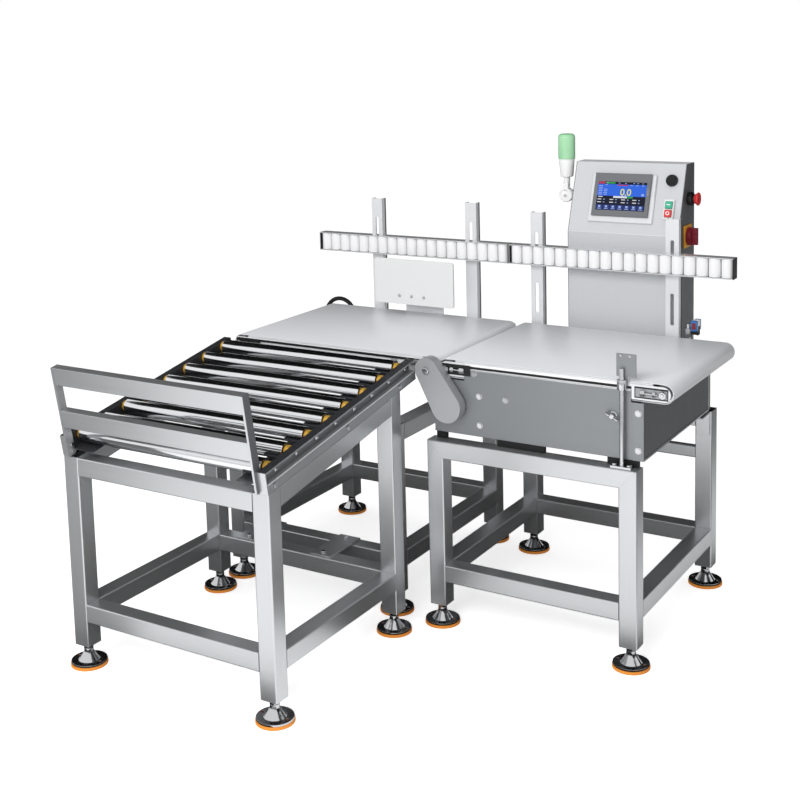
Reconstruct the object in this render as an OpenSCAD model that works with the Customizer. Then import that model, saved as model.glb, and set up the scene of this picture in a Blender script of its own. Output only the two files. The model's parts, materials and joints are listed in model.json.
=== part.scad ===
// Carton checkweigher: weigh conveyor, reject conveyor with pusher and roller table on three tube stands.
// Millimetres, Z up, X along the belts, Y to the back.

/* [Stands] */
// Side of the square frame tube
tube = 50; // [40:1:60]
// Wall of the frame tube
tube_wall = 2; // [1.5:0.5:4]
// Underside of the legs above the floor
leg_base = 60; // [55:1:80]
// Underside of the lower bars above the floor
low_bar = 131; // [120:1:180]
// Weigh stand width
weigh_w = 616; // [600:1:680]
// Weigh stand depth
weigh_d = 663; // [655:1:720]
// Weigh stand top above the floor
weigh_top = 542; // [480:1:560]
// Reject stand width
reject_w = 612; // [580:1:640]
// Reject stand depth
reject_d = 678; // [650:1:720]
// Top of the reject stand's upper bars above the floor
reject_top = 561; // [500:1:600]
// Gap between reject stand and weigh stand
stand_gap = 105; // [95:1:130]
// Roller stand width
roller_w = 674; // [640:1:720]
// Roller stand depth
roller_d = 620; // [600:1:640]
// Front top of the roller stand above the floor
roller_top = 588; // [560:1:600]
// Gap between roller stand and reject stand
roller_gap = 72; // [64:1:90]

/* [Feet] */
// Diameter of a foot pad
foot_d = 100; // [80:1:120]
// Thickness of the rubber pad
pad_t = 8; // [5:1:12]
// Circle of the two bolt-down holes
anchor_pcd = 76; // [66:1:80]
// Diameter of a bolt-down hole
anchor_d = 9; // [6:1:11]
// Diameter of the threaded stem
stem_d = 16; // [12:1:20]

/* [Roller table] */
// Slope of the roller table in degrees
slope = 9.5; // [7:0.5:10]
// Length of a side channel
channel_l = 716; // [700:1:718]
// Height of a side channel
channel_h = 58; // [54:1:64]
// Width of a side channel
channel_w = 25; // [22:1:30]
// Roller diameter
roll_d = 44; // [38:1:50]
// Distance from roller to roller
roller_pitch = 89; // [82:1:89]
// Height of the stop fence above the table
fence_h = 258; // [220:1:300]
// Height of a fence rail
fence_rail = 48; // [40:1:50]

/* [Conveyors] */
// Top of the belts above the floor
belt_top = 771; // [765:1:790]
// Width of the belts
belt_w = 514; // [500:1:514]
// Belt thickness
belt_t = 2; // [1:0.5:3]
// Length of the weigh conveyor over its belt
weigh_l = 678; // [650:1:720]
// Length of the reject conveyor over its belt
reject_l = 708; // [680:1:730]
// Diameter of the end rollers
end_d = 48; // [44:1:52]
// Diameter of the reject drive roller
drive_d = 32; // [30:1:34]
// Height of the rubber pads under the base box
mount_h = 20; // [15:1:30]

/* [Guides and pusher] */
// Width of a slotted post
post_w = 40; // [36:1:46]
// Top of the left posts above the floor
post_top = 1135; // [1100:1:1180]
// Height of a guide rail
rail_h = 61; // [56:1:66]
// Middle of the guide rails above the floor
rail_z = 986; // [976:1:996]
// Diameter of a small guide roller
guide_d = 31; // [24:1:33]
// Small rollers in each rail
guide_n = 19; // [14:1:19]
// Width of the pusher plate
plate_w = 290; // [220:2:300]
// Height of the pusher plate
plate_h = 147; // [110:1:150]
// Travel of the pusher
stroke = 100; // [60:5:100]

/* [Cabinet] */
// Cabinet width
cab_w = 350; // [320:2:380]
// Top of the cabinet above the floor
cab_top = 1265; // [1230:1:1320]
// Height of the fold where the face starts to lean back
cab_fold = 1058; // [1040:1:1062]
// Depth of the cabinet at the bottom
cab_d = 140; // [135:1:170]
// How far the slanted face leans back
cab_lean = 75; // [55:1:78]
// Sheet thickness
sheet = 2; // [1:0.5:3]
// Lit width of the screen
screen_w = 154; // [140:1:160]
// Lit height of the screen
screen_h = 88; // [80:1:96]

/* [Hidden] */
$fn = 48;
// weld seam between neighbouring tubes and running gap between moving pieces
seam = 0.3;
gap = 0.5;
run = 0.05;

// distances measured from the weigh stand's front left corner
reject_set = 5;
roller_side = 63;
belt_in = 36;
joint_x = 18;
joint_gap = 11;
fence_out = 10;
left_most = -stand_gap - max(reject_w, roller_w - roller_side) + tube / 2 - foot_d / 2;
right_most = joint_x + joint_gap / 2 + weigh_l;
table_front = reject_set - roller_gap - roller_d;
// the upper end of the roller channels stops short of the reject conveyor
table_clear = 16.82;
channel_start = (belt_in - table_clear - table_front) / cos(slope) - channel_l;
front_most = table_front + (channel_start - fence_out) * cos(slope) - fence_h * sin(slope);
cab_in = 605;
hinge_r = 4;
hinge_l = 60;
back_most = cab_in + cab_d + gap + 2 * hinge_r;

// the middle of the machine stands on the origin
wx0 = -(left_most + right_most) / 2;
wx1 = wx0 + weigh_w;
wy0 = -(front_most + back_most) / 2;
wy1 = wy0 + weigh_d;
rx1 = wx0 - stand_gap;
rx0 = rx1 - reject_w;
ry0 = wy0 + reject_set;
ry1 = ry0 + reject_d;
gx1 = rx1 + roller_side;
gx0 = gx1 - roller_w;
gy0 = wy0 + table_front;
gy1 = gy0 + roller_d;

// plates that tie the roller stand to the reject stand
tie_xs = [rx0 + reject_w * 0.24, rx0 + reject_w * 0.68];

// feet under the three stands
half = tube / 2;
feet = [
    for (s = [[wx0, wx1, wy0, wy1], [rx0, rx1, ry0, ry1], [gx0, gx1, gy0, gy1]])
        for (x = [s[0] + half, s[1] - half]) for (y = [s[2] + half, s[3] - half]) [x, y]
];

// cable duct of the weigh stand
duct_h = 36;
duct_z = (low_bar + tube + weigh_top - tube) / 2 + 41.5;

// belts and their end rollers
by0 = wy0 + belt_in;
by1 = by0 + belt_w;
belt_under = belt_top - belt_t;
end_r = end_d / 2;
drive_r = drive_d / 2;
weigh_x0 = wx0 + joint_x + joint_gap / 2;
weigh_x1 = weigh_x0 + weigh_l;
reject_x1 = wx0 + joint_x - joint_gap / 2;
reject_x0 = reject_x1 - reject_l;
end_z = belt_under - end_r;
drive_z = belt_under - drive_r;
weigh_in = [weigh_x0 + belt_t + end_r, end_z];
weigh_out = [weigh_x1 - belt_t - end_r, end_z];
reject_in = [reject_x0 + belt_t + end_r, end_z];
reject_out = [reject_x1 - belt_t - drive_r, drive_z];
axle_r = 8;
bed_t = 3;
bed_edge = 12;
side_t = 2;
side_y0 = by0 - side_t - 1;
side_y1 = by1 + side_t + 1;

// base box of the weigh section
box_x0 = wx0 + 11;
box_x1 = wx1 + 8;
box_y0 = wy0 + 30;
box_y1 = side_y1 + 17;
box_z0 = weigh_top + mount_h;
box_z1 = belt_under - bed_edge - 9;
notch_z = end_z - end_r - belt_t - 3;
notch_in = 95;
notch_out = 34;
plate_bolts = [
    [box_x0 + 126, box_z1 - 9], [box_x0 + 141, box_z0 + 115], [box_x0 + 222, box_z0 + 114],
    [box_x0 + 142, box_z0 + 33], [box_x1 - 14, box_z0 + 127], [box_x1 - 14, box_z0 + 28],
    [box_x1 - 82, box_z0 + 113]
];

// load cell in the box and the saddle that it carries
cell_x = (box_x0 + box_x1) / 2;
cell_y = (by0 + by1) / 2;
cell_z = box_z0 + 40;
cell_l = 180;
cell_h = 40;
cell_pad = 38;
saddle_z = end_z - end_r - belt_t - 22;

// drive of the reject belt
pulley_r = 14;
motor_r = 27;
gear_w = 68;
gear_l = 62;
motor_l = 128;
motor_d = 62;
guard_t = 1.5;
guard_y0 = wy0 - 8;
guard_y1 = side_y0 - 6 - 2 * gap;
guard_top = [wx0 + 7, drive_z - 11];
guard_low = [wx0 + 66, drive_z - 109];
guard_r1 = 36;
guard_r2 = 45;
lug_r = 5;
pulley_y0 = guard_y0 + 8;
pulley_y1 = guard_y1 - 6;

// roller table
bed_low = 46;
first_roller = 51;
last_roller = 42;
// as many rollers as the channels hold
roller_n = min(8, floor((channel_l - first_roller - last_roller) / roller_pitch + 0.01) + 1);
inner_x0 = gx0 + channel_w;
inner_x1 = gx1 - channel_w;
roller_r = roll_d / 2;
cap_l = 12;
axle_hex = 6;

// side guides
post_d = 25;
post_wall = 2.5;
post_y = box_y1 + seam;
rail_d = 36;
rail_y = post_y - gap - rail_d;
rail_wall = 3;
right_drop = 20;
posts_left = [reject_x0 + reject_l * 0.248, reject_x0 + reject_l * 0.741];
posts_right = [weigh_x0 + weigh_l * 0.05, weigh_x0 + weigh_l * 0.687];
rail_over = 12.5;
rail_split = 3;
left_rail_x = reject_x0 - rail_over;
left_rail_l = reject_l - 4;
right_rail_x = left_rail_x + left_rail_l + rail_split;
right_rail_l = weigh_l + 23;
guide_y = rail_y + rail_d - rail_wall - gap - guide_d / 2;

// pusher
push_x = reject_x0 + reject_l * 0.512;
push_z = belt_top + 60;
push_y = by1 - 50;
plate_t = 8;
bar_t = 12;
rod_set = 45;
bar_half = rod_set + 17;
rod_r = 8;
block_w = 2 * (rod_set + rod_r + 4);
bracket_w = 138;
block_h = 50;
block_y0 = push_y + plate_t + bar_t + 10;
block_l = stroke + 45;

// cabinet
cab_x0 = wx0 + 166;
cab_x1 = cab_x0 + cab_w;
cab_y0 = wy0 + cab_in;
cab_y1 = cab_y0 + cab_d;
cab_z0 = weigh_top + 18;
lean = atan(cab_lean / (cab_top - cab_fold));
face_l = (cab_top - cab_fold) / cos(lean);
hmi_x = cab_x0 + 163;
hmi_z = face_l - 120;
bezel_w = 178;
bezel_h = 133;
button_x = cab_x1 - 37;
button_z = face_l * 0.36;
button_gap = 13;
key = 22;
side_y = cab_y1 - 52;
estop_z = cab_fold + 103;
switch_z = cab_fold - 7;
lamp_x = cab_x0 - 38;
lamp_y = cab_y1 - 55;
lamp_z = cab_top - 107;
cup_top = 113;
cup_l = 56;
lens_l = 73;
lens_r = 26;

// photo-eye
rod_in = 46;
eye_x = wx1 - rod_in;
eye_y = wy0 + 16;
eye_r = 6;
eye_foot = 28;
rod_beside = 62.714;
rear_x = posts_right[1] + rod_beside;
rear_y = box_y1 + 20;
eye_z = belt_top + 43;

steel = [0.66, 0.67, 0.69];
bright = [0.82, 0.83, 0.85];
alu = [0.76, 0.77, 0.79];
dark = [0.2, 0.2, 0.21];
black = [0.06, 0.06, 0.07];
white = [0.88, 0.88, 0.9];

// block from corner to corner
module block(x0, x1, y0, y1, z0, z1) {
    translate([x0, y0, z0]) cube([x1 - x0, y1 - y0, z1 - z0]);
}

// round bars along the three axes
module bar_x(x0, x1, y, z, r) {
    translate([x0, y, z]) rotate([0, 90, 0]) cylinder(h = x1 - x0, r = r);
}

module bar_y(y0, y1, x, z, r) {
    translate([x, y0, z]) rotate([-90, 0, 0]) cylinder(h = y1 - y0, r = r);
}

module bar_z(z0, z1, x, y, r) {
    translate([x, y, z0]) cylinder(h = z1 - z0, r = r);
}

// side outline in Y and Z, pulled along X
module across(x0, x1) {
    translate([x0, 0, 0]) rotate([90, 0, 90]) linear_extrude(x1 - x0) children();
}

// front outline in X and Z, pulled along Y
module back(y0, y1) {
    translate([0, y1, 0]) rotate([90, 0, 0]) linear_extrude(y1 - y0) children();
}

// hollow square tubes along the three axes
module tube_x(x0, x1, y, z) {
    difference() {
        block(x0, x1, y, y + tube, z, z + tube);
        block(x0 - 1, x1 + 1, y + tube_wall, y + tube - tube_wall, z + tube_wall, z + tube - tube_wall);
    }
}

module tube_y(y0, y1, x, z) {
    difference() {
        block(x, x + tube, y0, y1, z, z + tube);
        block(x + tube_wall, x + tube - tube_wall, y0 - 1, y1 + 1, z + tube_wall, z + tube - tube_wall);
    }
}

module tube_z(z0, z1, x, y) {
    difference() {
        block(x, x + tube, y, y + tube, z0, z1);
        block(x + tube_wall, x + tube - tube_wall, y + tube_wall, y + tube - tube_wall, z0 - 1, z1 + 1);
    }
}

// four lower bars between the legs of a stand
module lower_bars(x0, x1, y0, y1) {
    tube_x(x0 + tube + seam, x1 - tube - seam, y0, low_bar);
    tube_x(x0 + tube + seam, x1 - tube - seam, y1 - tube, low_bar);
    tube_y(y0 + tube + seam, y1 - tube - seam, x0, low_bar);
    tube_y(y0 + tube + seam, y1 - tube - seam, x1 - tube, low_bar);
}

// upright leg with its top cut along the slope of the roller table
module sloped_leg(x, y) {
    z0 = roller_top + (y - gy0) * tan(slope);
    z1 = z0 + tube * tan(slope);
    difference() {
        across(x, x + tube) polygon([[y, leg_base], [y + tube, leg_base], [y + tube, z1], [y, z0]]);
        block(x + tube_wall, x + tube - tube_wall, y + tube_wall, y + tube - tube_wall, leg_base - 1, z1 + 1);
    }
}

// leaning side tube of the roller stand
module sloped_tube(x) {
    y0 = gy0 + tube + seam;
    y1 = gy1 - tube - seam;
    z0 = roller_top + (y0 - gy0) * tan(slope);
    z1 = roller_top + (y1 - gy0) * tan(slope);
    h = tube / cos(slope);
    difference() {
        across(x, x + tube) polygon([[y0, z0 - h], [y1, z1 - h], [y1, z1], [y0, z0]]);
        across(x + tube_wall, x + tube - tube_wall)
            polygon([
                [y0 - 1, z0 - h + tube_wall - tan(slope)], [y1 + 1, z1 - h + tube_wall + tan(slope)],
                [y1 + 1, z1 - tube_wall + tan(slope)], [y0 - 1, z0 - tube_wall - tan(slope)]
            ]);
    }
}

module roller_stand() {
    color(steel) {
        for (x = [gx0, gx1 - tube]) {
            sloped_leg(x, gy0);
            sloped_leg(x, gy1 - tube);
            sloped_tube(x);
        }
        tube_x(gx0 + tube + seam, gx1 - tube - seam, gy0, roller_top - tube);
        lower_bars(gx0, gx1, gy0, gy1);
    }
}

module reject_stand() {
    color(steel) {
        for (x = [rx0, rx1 - tube]) {
            tube_z(leg_base, reject_top, x, ry0);
            tube_z(leg_base, reject_top, x, ry1 - tube);
            tube_y(ry0 + tube + seam, ry1 - tube - seam, x, reject_top - tube);
        }
        lower_bars(rx0, rx1, ry0, ry1);
    }
}

// front leg with a mitred top, mirrored for the right-hand side
module mitred_leg() {
    difference() {
        back(0, tube) polygon([[0, leg_base], [tube, leg_base], [tube, weigh_top - tube], [0, weigh_top]]);
        block(tube_wall, tube - tube_wall, tube_wall, tube - tube_wall, leg_base - 1, weigh_top + 1);
    }
}

module weigh_stand() {
    m = seam * 1.4;
    color(steel) {
        translate([wx0, wy0, 0]) mitred_leg();
        translate([wx1, wy0, 0]) mirror([1, 0, 0]) mitred_leg();
        difference() {
            back(wy0, wy0 + tube)
                polygon([
                    [wx0 + m, weigh_top], [wx0 + tube + m, weigh_top - tube],
                    [wx1 - tube - m, weigh_top - tube], [wx1 - m, weigh_top]
                ]);
            block(wx0, wx1, wy0 + tube_wall, wy0 + tube - tube_wall,
                weigh_top - tube + tube_wall, weigh_top - tube_wall);
        }
        tube_z(leg_base, weigh_top, wx0, wy1 - tube);
        tube_z(leg_base, weigh_top, wx1 - tube, wy1 - tube);
        tube_x(wx0 + tube + seam, wx1 - tube - seam, wy1 - tube, weigh_top - tube);
        lower_bars(wx0, wx1, wy0, wy1);
        // cable duct behind the back legs
        difference() {
            block(wx0 + 10, wx1 - 10, wy1 + seam, wy1 + 22, duct_z, duct_z + duct_h);
            block(wx0 + 9, wx1 - 9, wy1 + seam + 2, wy1 + 20, duct_z + 2, duct_z + duct_h - 2);
        }
    }
}

module foot_pads() {
    color([0.94, 0.56, 0.2])
        for (f = feet) translate([f[0], f[1], 0])
            difference() {
                cylinder(h = pad_t, d = foot_d);
                for (s = [-1, 1])
                    translate([s * anchor_pcd / 2, 0, -1]) cylinder(h = pad_t + 2, d = anchor_d);
            }
}

// plate with two bolt-down holes, hub, stem and lock nut
module foot_bases() {
    color(bright)
        for (f = feet) translate([f[0], f[1], 0]) {
            difference() {
                union() {
                    translate([0, 0, pad_t]) cylinder(h = 6, d = foot_d - 3);
                    translate([0, 0, pad_t + 5]) cylinder(h = 24, r1 = 30, r2 = 13);
                    bar_z(pad_t + 28, leg_base - 13 - seam, 0, 0, 12.5);
                    bar_z(pad_t + 20, leg_base + 28, 0, 0, stem_d / 2);
                }
                for (s = [-1, 1])
                    translate([s * anchor_pcd / 2, 0, pad_t - 1]) cylinder(h = 8, d = anchor_d);
            }
            difference() {
                translate([0, 0, leg_base - 13]) cylinder(h = 12.7, d = stem_d * 1.7, $fn = 6);
                translate([0, 0, leg_base - 14]) cylinder(h = 16, d = stem_d + 0.4);
            }
        }
}

// threaded inserts in the leg ends and caps in the open leg tops
module leg_plugs() {
    side = tube - 2 * tube_wall - 2 * seam;
    color(black) {
        for (f = feet) translate([f[0], f[1], leg_base])
            difference() {
                translate([-side / 2, -side / 2, 0]) cube([side, side, 26]);
                translate([0, 0, -1]) cylinder(h = 28, d = stem_d + 0.4);
            }
        for (x = [wx0, wx1 - tube]) translate([x + half - side / 2, wy1 - half - side / 2, weigh_top - 14])
            cube([side, side, 12]);
        for (x = [rx0, rx1 - tube]) for (y = [ry0, ry1 - tube])
            translate([x + half - side / 2, y + half - side / 2, reject_top - 14]) cube([side, side, 12]);
    }
}

// flat plates between the stands, uprights under the reject bed and angles behind the base box
module flat_brackets() {
    z = low_bar + tube + seam;
    ya = wy1 - tube - seam;
    color(steel) {
        for (x = tie_xs)
            difference() {
                block(x - 35, x + 35, gy1 - tube + 4, ry0 + tube - 4, z, z + 5);
                for (y = [gy1 - half, ry0 + half]) bar_z(z - 1, z + 6, x, y, 4.4);
            }
        for (u = [[reject_in[0] - 18, 4 + seam, end_z - 9], [rx1 - 24, 0, end_z + 10]]) {
            y0 = side_y0 - u[1] - seam;
            y1 = side_y1 + u[1] + seam;
            block(u[0], u[0] + 20, y0 - 5, y0, reject_top + seam, u[2]);
            block(u[0] - 20, u[0] + 20, y0 + seam, y0 + 36, reject_top + seam, reject_top + 5);
            block(u[0], u[0] + 20, y1, y1 + 5, reject_top + seam, u[2]);
            block(u[0] - 20, u[0] + 20, y1 - 36, y1 - seam, reject_top + seam, reject_top + 5);
        }
        for (x = [wx0 + 5, wx1 - tube + 5]) {
            block(x, x + tube - 10, ya - 5, ya, weigh_top - 70, weigh_top);
            block(x, x + tube - 10, box_y1 - 34, ya - 5 - seam, weigh_top - 5, weigh_top);
        }
    }
}

// hex head with a short shank, standing on its seat
module hex_bolt(l) {
    cylinder(h = 5, d = 15, $fn = 6);
    translate([0, 0, -l]) cylinder(h = l + 1, d = 8);
}

module hex_bolts() {
    color(bright) {
        for (x = tie_xs) for (y = [gy1 - half, ry0 + half])
            translate([x, y, low_bar + tube + seam + 5]) hex_bolt(5);
        for (p = plate_bolts) translate([p[0], box_y0, p[1]]) rotate([90, 0, 0]) hex_bolt(sheet);
        for (x = [gx0, gx1]) for (u = [30, channel_l * 0.5, channel_l - 90]) table()
            translate([x, u, 14]) rotate([0, x > gx0 + 1 ? 90 : -90, 0]) hex_bolt(3);
        for (x = [inner_x0 + 6 + seam, inner_x1 - 6 - seam]) for (w = [16, 34]) table()
            translate([x, 8, w]) rotate([0, x < gx0 + 100 ? 90 : -90, 0]) hex_bolt(6);
        for (s = [-1, 1]) translate([eye_x + s * 20, eye_y, weigh_top + 6 + seam]) hex_bolt(5);
    }
}

// frame of the roller table: Y runs up the slope, Z stands on it
module table() {
    translate([0, gy0, roller_top]) rotate([slope, 0, 0]) translate([0, channel_start, 0]) children();
}

// channel section, X from the inner face to the outer face
module channel_outline() {
    difference() {
        polygon([
            [0, 0], [channel_w, 0], [channel_w, 26], [7, 26], [7, channel_h - 5], [channel_w, channel_h - 5],
            [channel_w, channel_h], [0, channel_h]
        ]);
        polygon([[3, 3], [channel_w - 3, 3], [channel_w - 3, 23], [3, 23]]);
    }
}

module side_channel() {
    difference() {
        union() {
            translate([0, channel_l, seam]) rotate([90, 0, 0])
                linear_extrude(channel_l - 2) channel_outline();
            translate([0, 0, seam]) cube([channel_w, 3, channel_h]);
        }
        for (i = [0 : roller_n - 1])
            translate([-1, first_roller + i * roller_pitch, bed_low]) rotate([0, 90, 0])
                cylinder(h = 12, r = axle_hex + run);
        for (u = [30, channel_l * 0.5, channel_l - 90])
            translate([channel_w - 4, u, 14]) rotate([0, 90, 0]) cylinder(h = 6, r = 4.2);
        for (w = [16, 34]) translate([-1, 8, w]) rotate([0, 90, 0]) cylinder(h = 9, r = 4.2);
        translate([-1, channel_l - 12, channel_h * 0.55]) cube([9, 6, 16]);
    }
}

module roller_channels() {
    color(dark) table() {
        translate([inner_x1, 0, 0]) side_channel();
        translate([inner_x0, 0, 0]) mirror([1, 0, 0]) side_channel();
        // cross strip at the upper end
        translate([inner_x0 + seam, channel_l - 13, channel_h - 26])
            cube([inner_x1 - inner_x0 - 2 * seam, 13, 22]);
    }
}

// two tube rails on flat uprights that stand square to the table
module stop_fence() {
    t = 6;
    d = 25;
    x0 = inner_x0 + t + 2 * seam;
    x1 = inner_x1 - t - 2 * seam;
    color(steel) table() translate([0, -fence_out, 0]) {
        for (x = [inner_x0 + seam, inner_x1 - seam - t])
            difference() {
                translate([x, 0, 4]) cube([t, d, fence_h - 4]);
                for (w = [16, 34]) bar_x(x - 1, x + t + 1, fence_out + 8, w, 4.2);
            }
        for (w = [fence_h - fence_rail, fence_h - 120 - fence_rail])
            difference() {
                translate([x0, 0, w]) cube([x1 - x0, d, fence_rail]);
                translate([x0 - 1, 2, w + 2]) cube([x1 - x0 + 2, d - 4, fence_rail - 4]);
            }
    }
}

// fixed axles with the bearing caps at both roller ends
module roller_bearings() {
    color([0.85, 0.64, 0.24]) table()
        for (i = [0 : roller_n - 1]) translate([0, first_roller + i * roller_pitch, bed_low]) {
            bar_x(inner_x0 - 9, inner_x1 + 9, 0, 0, axle_hex);
            for (x = [inner_x0 + seam, inner_x1 - seam - cap_l])
                difference() {
                    bar_x(x, x + cap_l, 0, 0, roller_r * 0.7);
                    bar_x(x - 1, x + cap_l + 1, 0, 0, axle_hex + seam);
                }
        }
}

module gravity_roller(i) {
    l0 = inner_x0 + cap_l + 2 * gap;
    l1 = inner_x1 - cap_l - 2 * gap;
    if (i <= roller_n) color(bright) table() translate([0, first_roller + (i - 1) * roller_pitch, bed_low])
        difference() {
            bar_x(l0, l1, 0, 0, roller_r);
            bar_x(l0 + 14, l1 - 14, 0, 0, roller_r - 1.5);
            bar_x(l0 - 1, l1 + 1, 0, 0, axle_hex + run);
        }
}

module roller_1() {
    gravity_roller(1);
}

module roller_2() {
    gravity_roller(2);
}

module roller_3() {
    gravity_roller(3);
}

module roller_4() {
    gravity_roller(4);
}

module roller_5() {
    gravity_roller(5);
}

module roller_6() {
    gravity_roller(6);
}

module roller_7() {
    gravity_roller(7);
}

module roller_8() {
    gravity_roller(8);
}

// outline around two circles with straight flanks
module loop_outline(a, ra, b, rb) {
    d = norm(b - a);
    f = atan2(b[1] - a[1], b[0] - a[0]);
    t = acos((ra - rb) / d);
    translate(a) circle(r = ra);
    translate(b) circle(r = rb);
    polygon([
        a + ra * [cos(f + t), sin(f + t)], a + ra * [cos(f - t), sin(f - t)],
        b + rb * [cos(f - t), sin(f - t)], b + rb * [cos(f + t), sin(f + t)]
    ]);
}

// endless belt around two rollers
module belt_loop(a, ra, b, rb, t, y0, y1) {
    back(y0, y1) difference() {
        loop_outline(a, ra + t, b, rb + t);
        loop_outline(a, ra, b, rb);
    }
}

// slider bed: top sheet, two side plates and tension plates that hold the rollers
module conveyor_bed(x0, x1, a, ra, b, rb, low) {
    ends = [[a, min(20, ra - 1)], [b, min(20, rb - 1)]];
    t = 4;
    top = belt_under - seam;
    block(x0, x1, side_y0, side_y1, top - bed_t, top);
    for (y = [side_y0, side_y1 - side_t]) block(x0, x1, y, y + side_t, low, top - bed_t - seam);
    for (y = [side_y0 - t - seam, side_y1 + seam]) for (e = ends)
        difference() {
            union() {
                xe = e[0][0] < (x0 + x1) / 2 ? x0 + 28 : x1 - 56;
                block(min(e[0][0], xe), max(e[0][0], xe), y, y + t, e[0][1] - e[1], e[0][1] + e[1]);
                bar_y(y, y + t, e[0][0], e[0][1], e[1]);
            }
            bar_y(y - 1, y + t + 1, e[0][0], e[0][1], axle_r + run);
        }
}

// roller with its journals
module belt_roller(p, r) {
    bar_y(by0 + 3, by1 - 3, p[0], p[1], r - seam);
    bar_y(side_y0 - 6, side_y1 + 6, p[0], p[1], axle_r);
}

module reject_bed() {
    color(alu) {
        conveyor_bed(reject_in[0] + end_r + 4, reject_out[0] - drive_r - 4, reject_in, end_r,
            reject_out, drive_r, end_z - 20);
        // pads behind the bed for the left posts
        for (x = posts_left) block(x, x + post_w, side_y1 + seam, box_y1, end_z - 20, belt_under - 4);
    }
}

module reject_belt() {
    color(white) belt_loop(reject_in, end_r, reject_out, drive_r, belt_t, by0, by1);
}

// drive roller with the driven pulley on its long journal
module reject_drive_roller() {
    color(bright) {
        belt_roller(reject_out, drive_r);
        bar_y(pulley_y0 - 2, side_y0, reject_out[0], reject_out[1], axle_r);
        bar_y(pulley_y0, pulley_y1, reject_out[0], reject_out[1], pulley_r);
    }
}

module reject_idler() {
    color(bright) belt_roller(reject_in, end_r);
}

module timing_belt() {
    color(black)
        belt_loop(reject_out, pulley_r + seam, guard_low, motor_r + seam, 2, pulley_y0 + 2, pulley_y1 - 2);
}

module motor_pulley() {
    color(bright) {
        bar_y(pulley_y0, pulley_y1, guard_low[0], guard_low[1], motor_r);
        bar_y(pulley_y0 - 2, box_y0 + sheet + 30, guard_low[0], guard_low[1], axle_r);
    }
}

// gearbox and motor on the inside of the box front
module gear_motor() {
    y = box_y0 + sheet + seam;
    color(dark) {
        difference() {
            block(guard_low[0] - gear_w / 2, guard_low[0] + gear_w / 2, y, y + gear_l,
                guard_low[1] - gear_w / 2, guard_low[1] + gear_w / 2);
            bar_y(y - 1, y + gear_l / 2 + 1, guard_low[0], guard_low[1], axle_r + run);
        }
        bar_y(y + gear_l + seam, y + gear_l + motor_l, guard_low[0], guard_low[1], motor_d / 2);
    }
}

// oblong cover over the pulleys, open to the back
module belt_guard() {
    color(alu) {
        difference() {
            back(guard_y0, guard_y1) loop_outline(guard_top, guard_r1, guard_low, guard_r2);
            back(guard_y0 + guard_t, guard_y1 + 1)
                loop_outline(guard_top, guard_r1 - guard_t, guard_low, guard_r2 - guard_t);
        }
        bar_y(guard_y0 - 7, guard_y0 - seam, guard_top[0], guard_top[1], 10);
        // lugs that hold the cover on the box front
        for (a = [0, 180, 270]) translate([guard_low[0], 0, guard_low[1]]) rotate([0, -a, 0])
            bar_y(guard_y0 + guard_t - 0.5, box_y0 - seam, guard_r2 - lug_r - 1, 0, lug_r);
    }
}

// folded sheet box with cut corners at the front and lips on the end panels
module base_box() {
    color(steel) {
        difference() {
            back(box_y0, box_y0 + sheet)
                polygon([
                    [box_x0, box_z0], [box_x1, box_z0], [box_x1, notch_z], [box_x1 - notch_out, notch_z],
                    [box_x1 - notch_out, box_z1], [box_x0 + notch_in, box_z1], [box_x0 + notch_in, notch_z],
                    [box_x0, notch_z]
                ]);
            for (p = plate_bolts) bar_y(box_y0 - 1, box_y0 + sheet + 1, p[0], p[1], 4.2);
            bar_y(box_y0 - 1, box_y0 + sheet + 1, guard_low[0], guard_low[1], axle_r + 3);
        }
        block(box_x0, box_x1, box_y1 - sheet, box_y1, box_z0, box_z1);
        block(box_x0 + 1, box_x0 + 1 + sheet, box_y0 + sheet + seam, box_y1 - sheet - seam, box_z0, notch_z);
        block(box_x1 - 1 - sheet, box_x1 - 1, box_y0 + sheet + seam, box_y1 - sheet - seam, box_z0, notch_z);
        // floor with two strong cross bars under the load cell
        for (x = [box_x0 + 1 + sheet + seam, cell_x - 110, cell_x + 50, box_x1 - 61 - sheet - seam])
            block(x, x + 60, box_y0 + sheet + seam, box_y1 - sheet - seam, box_z0, box_z0 + 4);
    }
}

module rubber_mounts() {
    color(black) {
        for (x = [[wx0 + 14, 30], [wx0 + weigh_w * 0.33, 140], [wx1 - 93, 85]])
            block(x[0], x[0] + x[1], wy0 + 33, wy0 + 49, weigh_top, box_z0 - 0.1);
        for (x = [wx0 + 14, wx1 - tube + 8])
            block(x, x + 30, box_y1 - 32, box_y1 - 4, weigh_top, box_z0 - 0.1);
    }
}

// bending-beam cell: fixed at one end below, carrying the bed at the other end above
module load_cell() {
    color(bright) {
        difference() {
            block(cell_x - cell_l / 2, cell_x + cell_l / 2, cell_y - cell_h / 2, cell_y + cell_h / 2,
                cell_z, cell_z + cell_h);
            for (x = [-22, 22]) bar_y(cell_y - cell_h, cell_y + cell_h, cell_x + x, cell_z + cell_h / 2, 14);
            block(cell_x - 22, cell_x + 22, cell_y - cell_h, cell_y + cell_h,
                cell_z + cell_h / 2 - 5, cell_z + cell_h / 2 + 5);
        }
        block(cell_x + cell_l / 2 - cell_pad, cell_x + cell_l / 2, cell_y - 25, cell_y + 25,
            box_z0 + 4 + seam, cell_z - seam);
        block(cell_x - cell_l / 2, cell_x - cell_l / 2 + cell_pad, cell_y - 25, cell_y + 25,
            cell_z + cell_h + seam, saddle_z - seam);
    }
}

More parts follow.
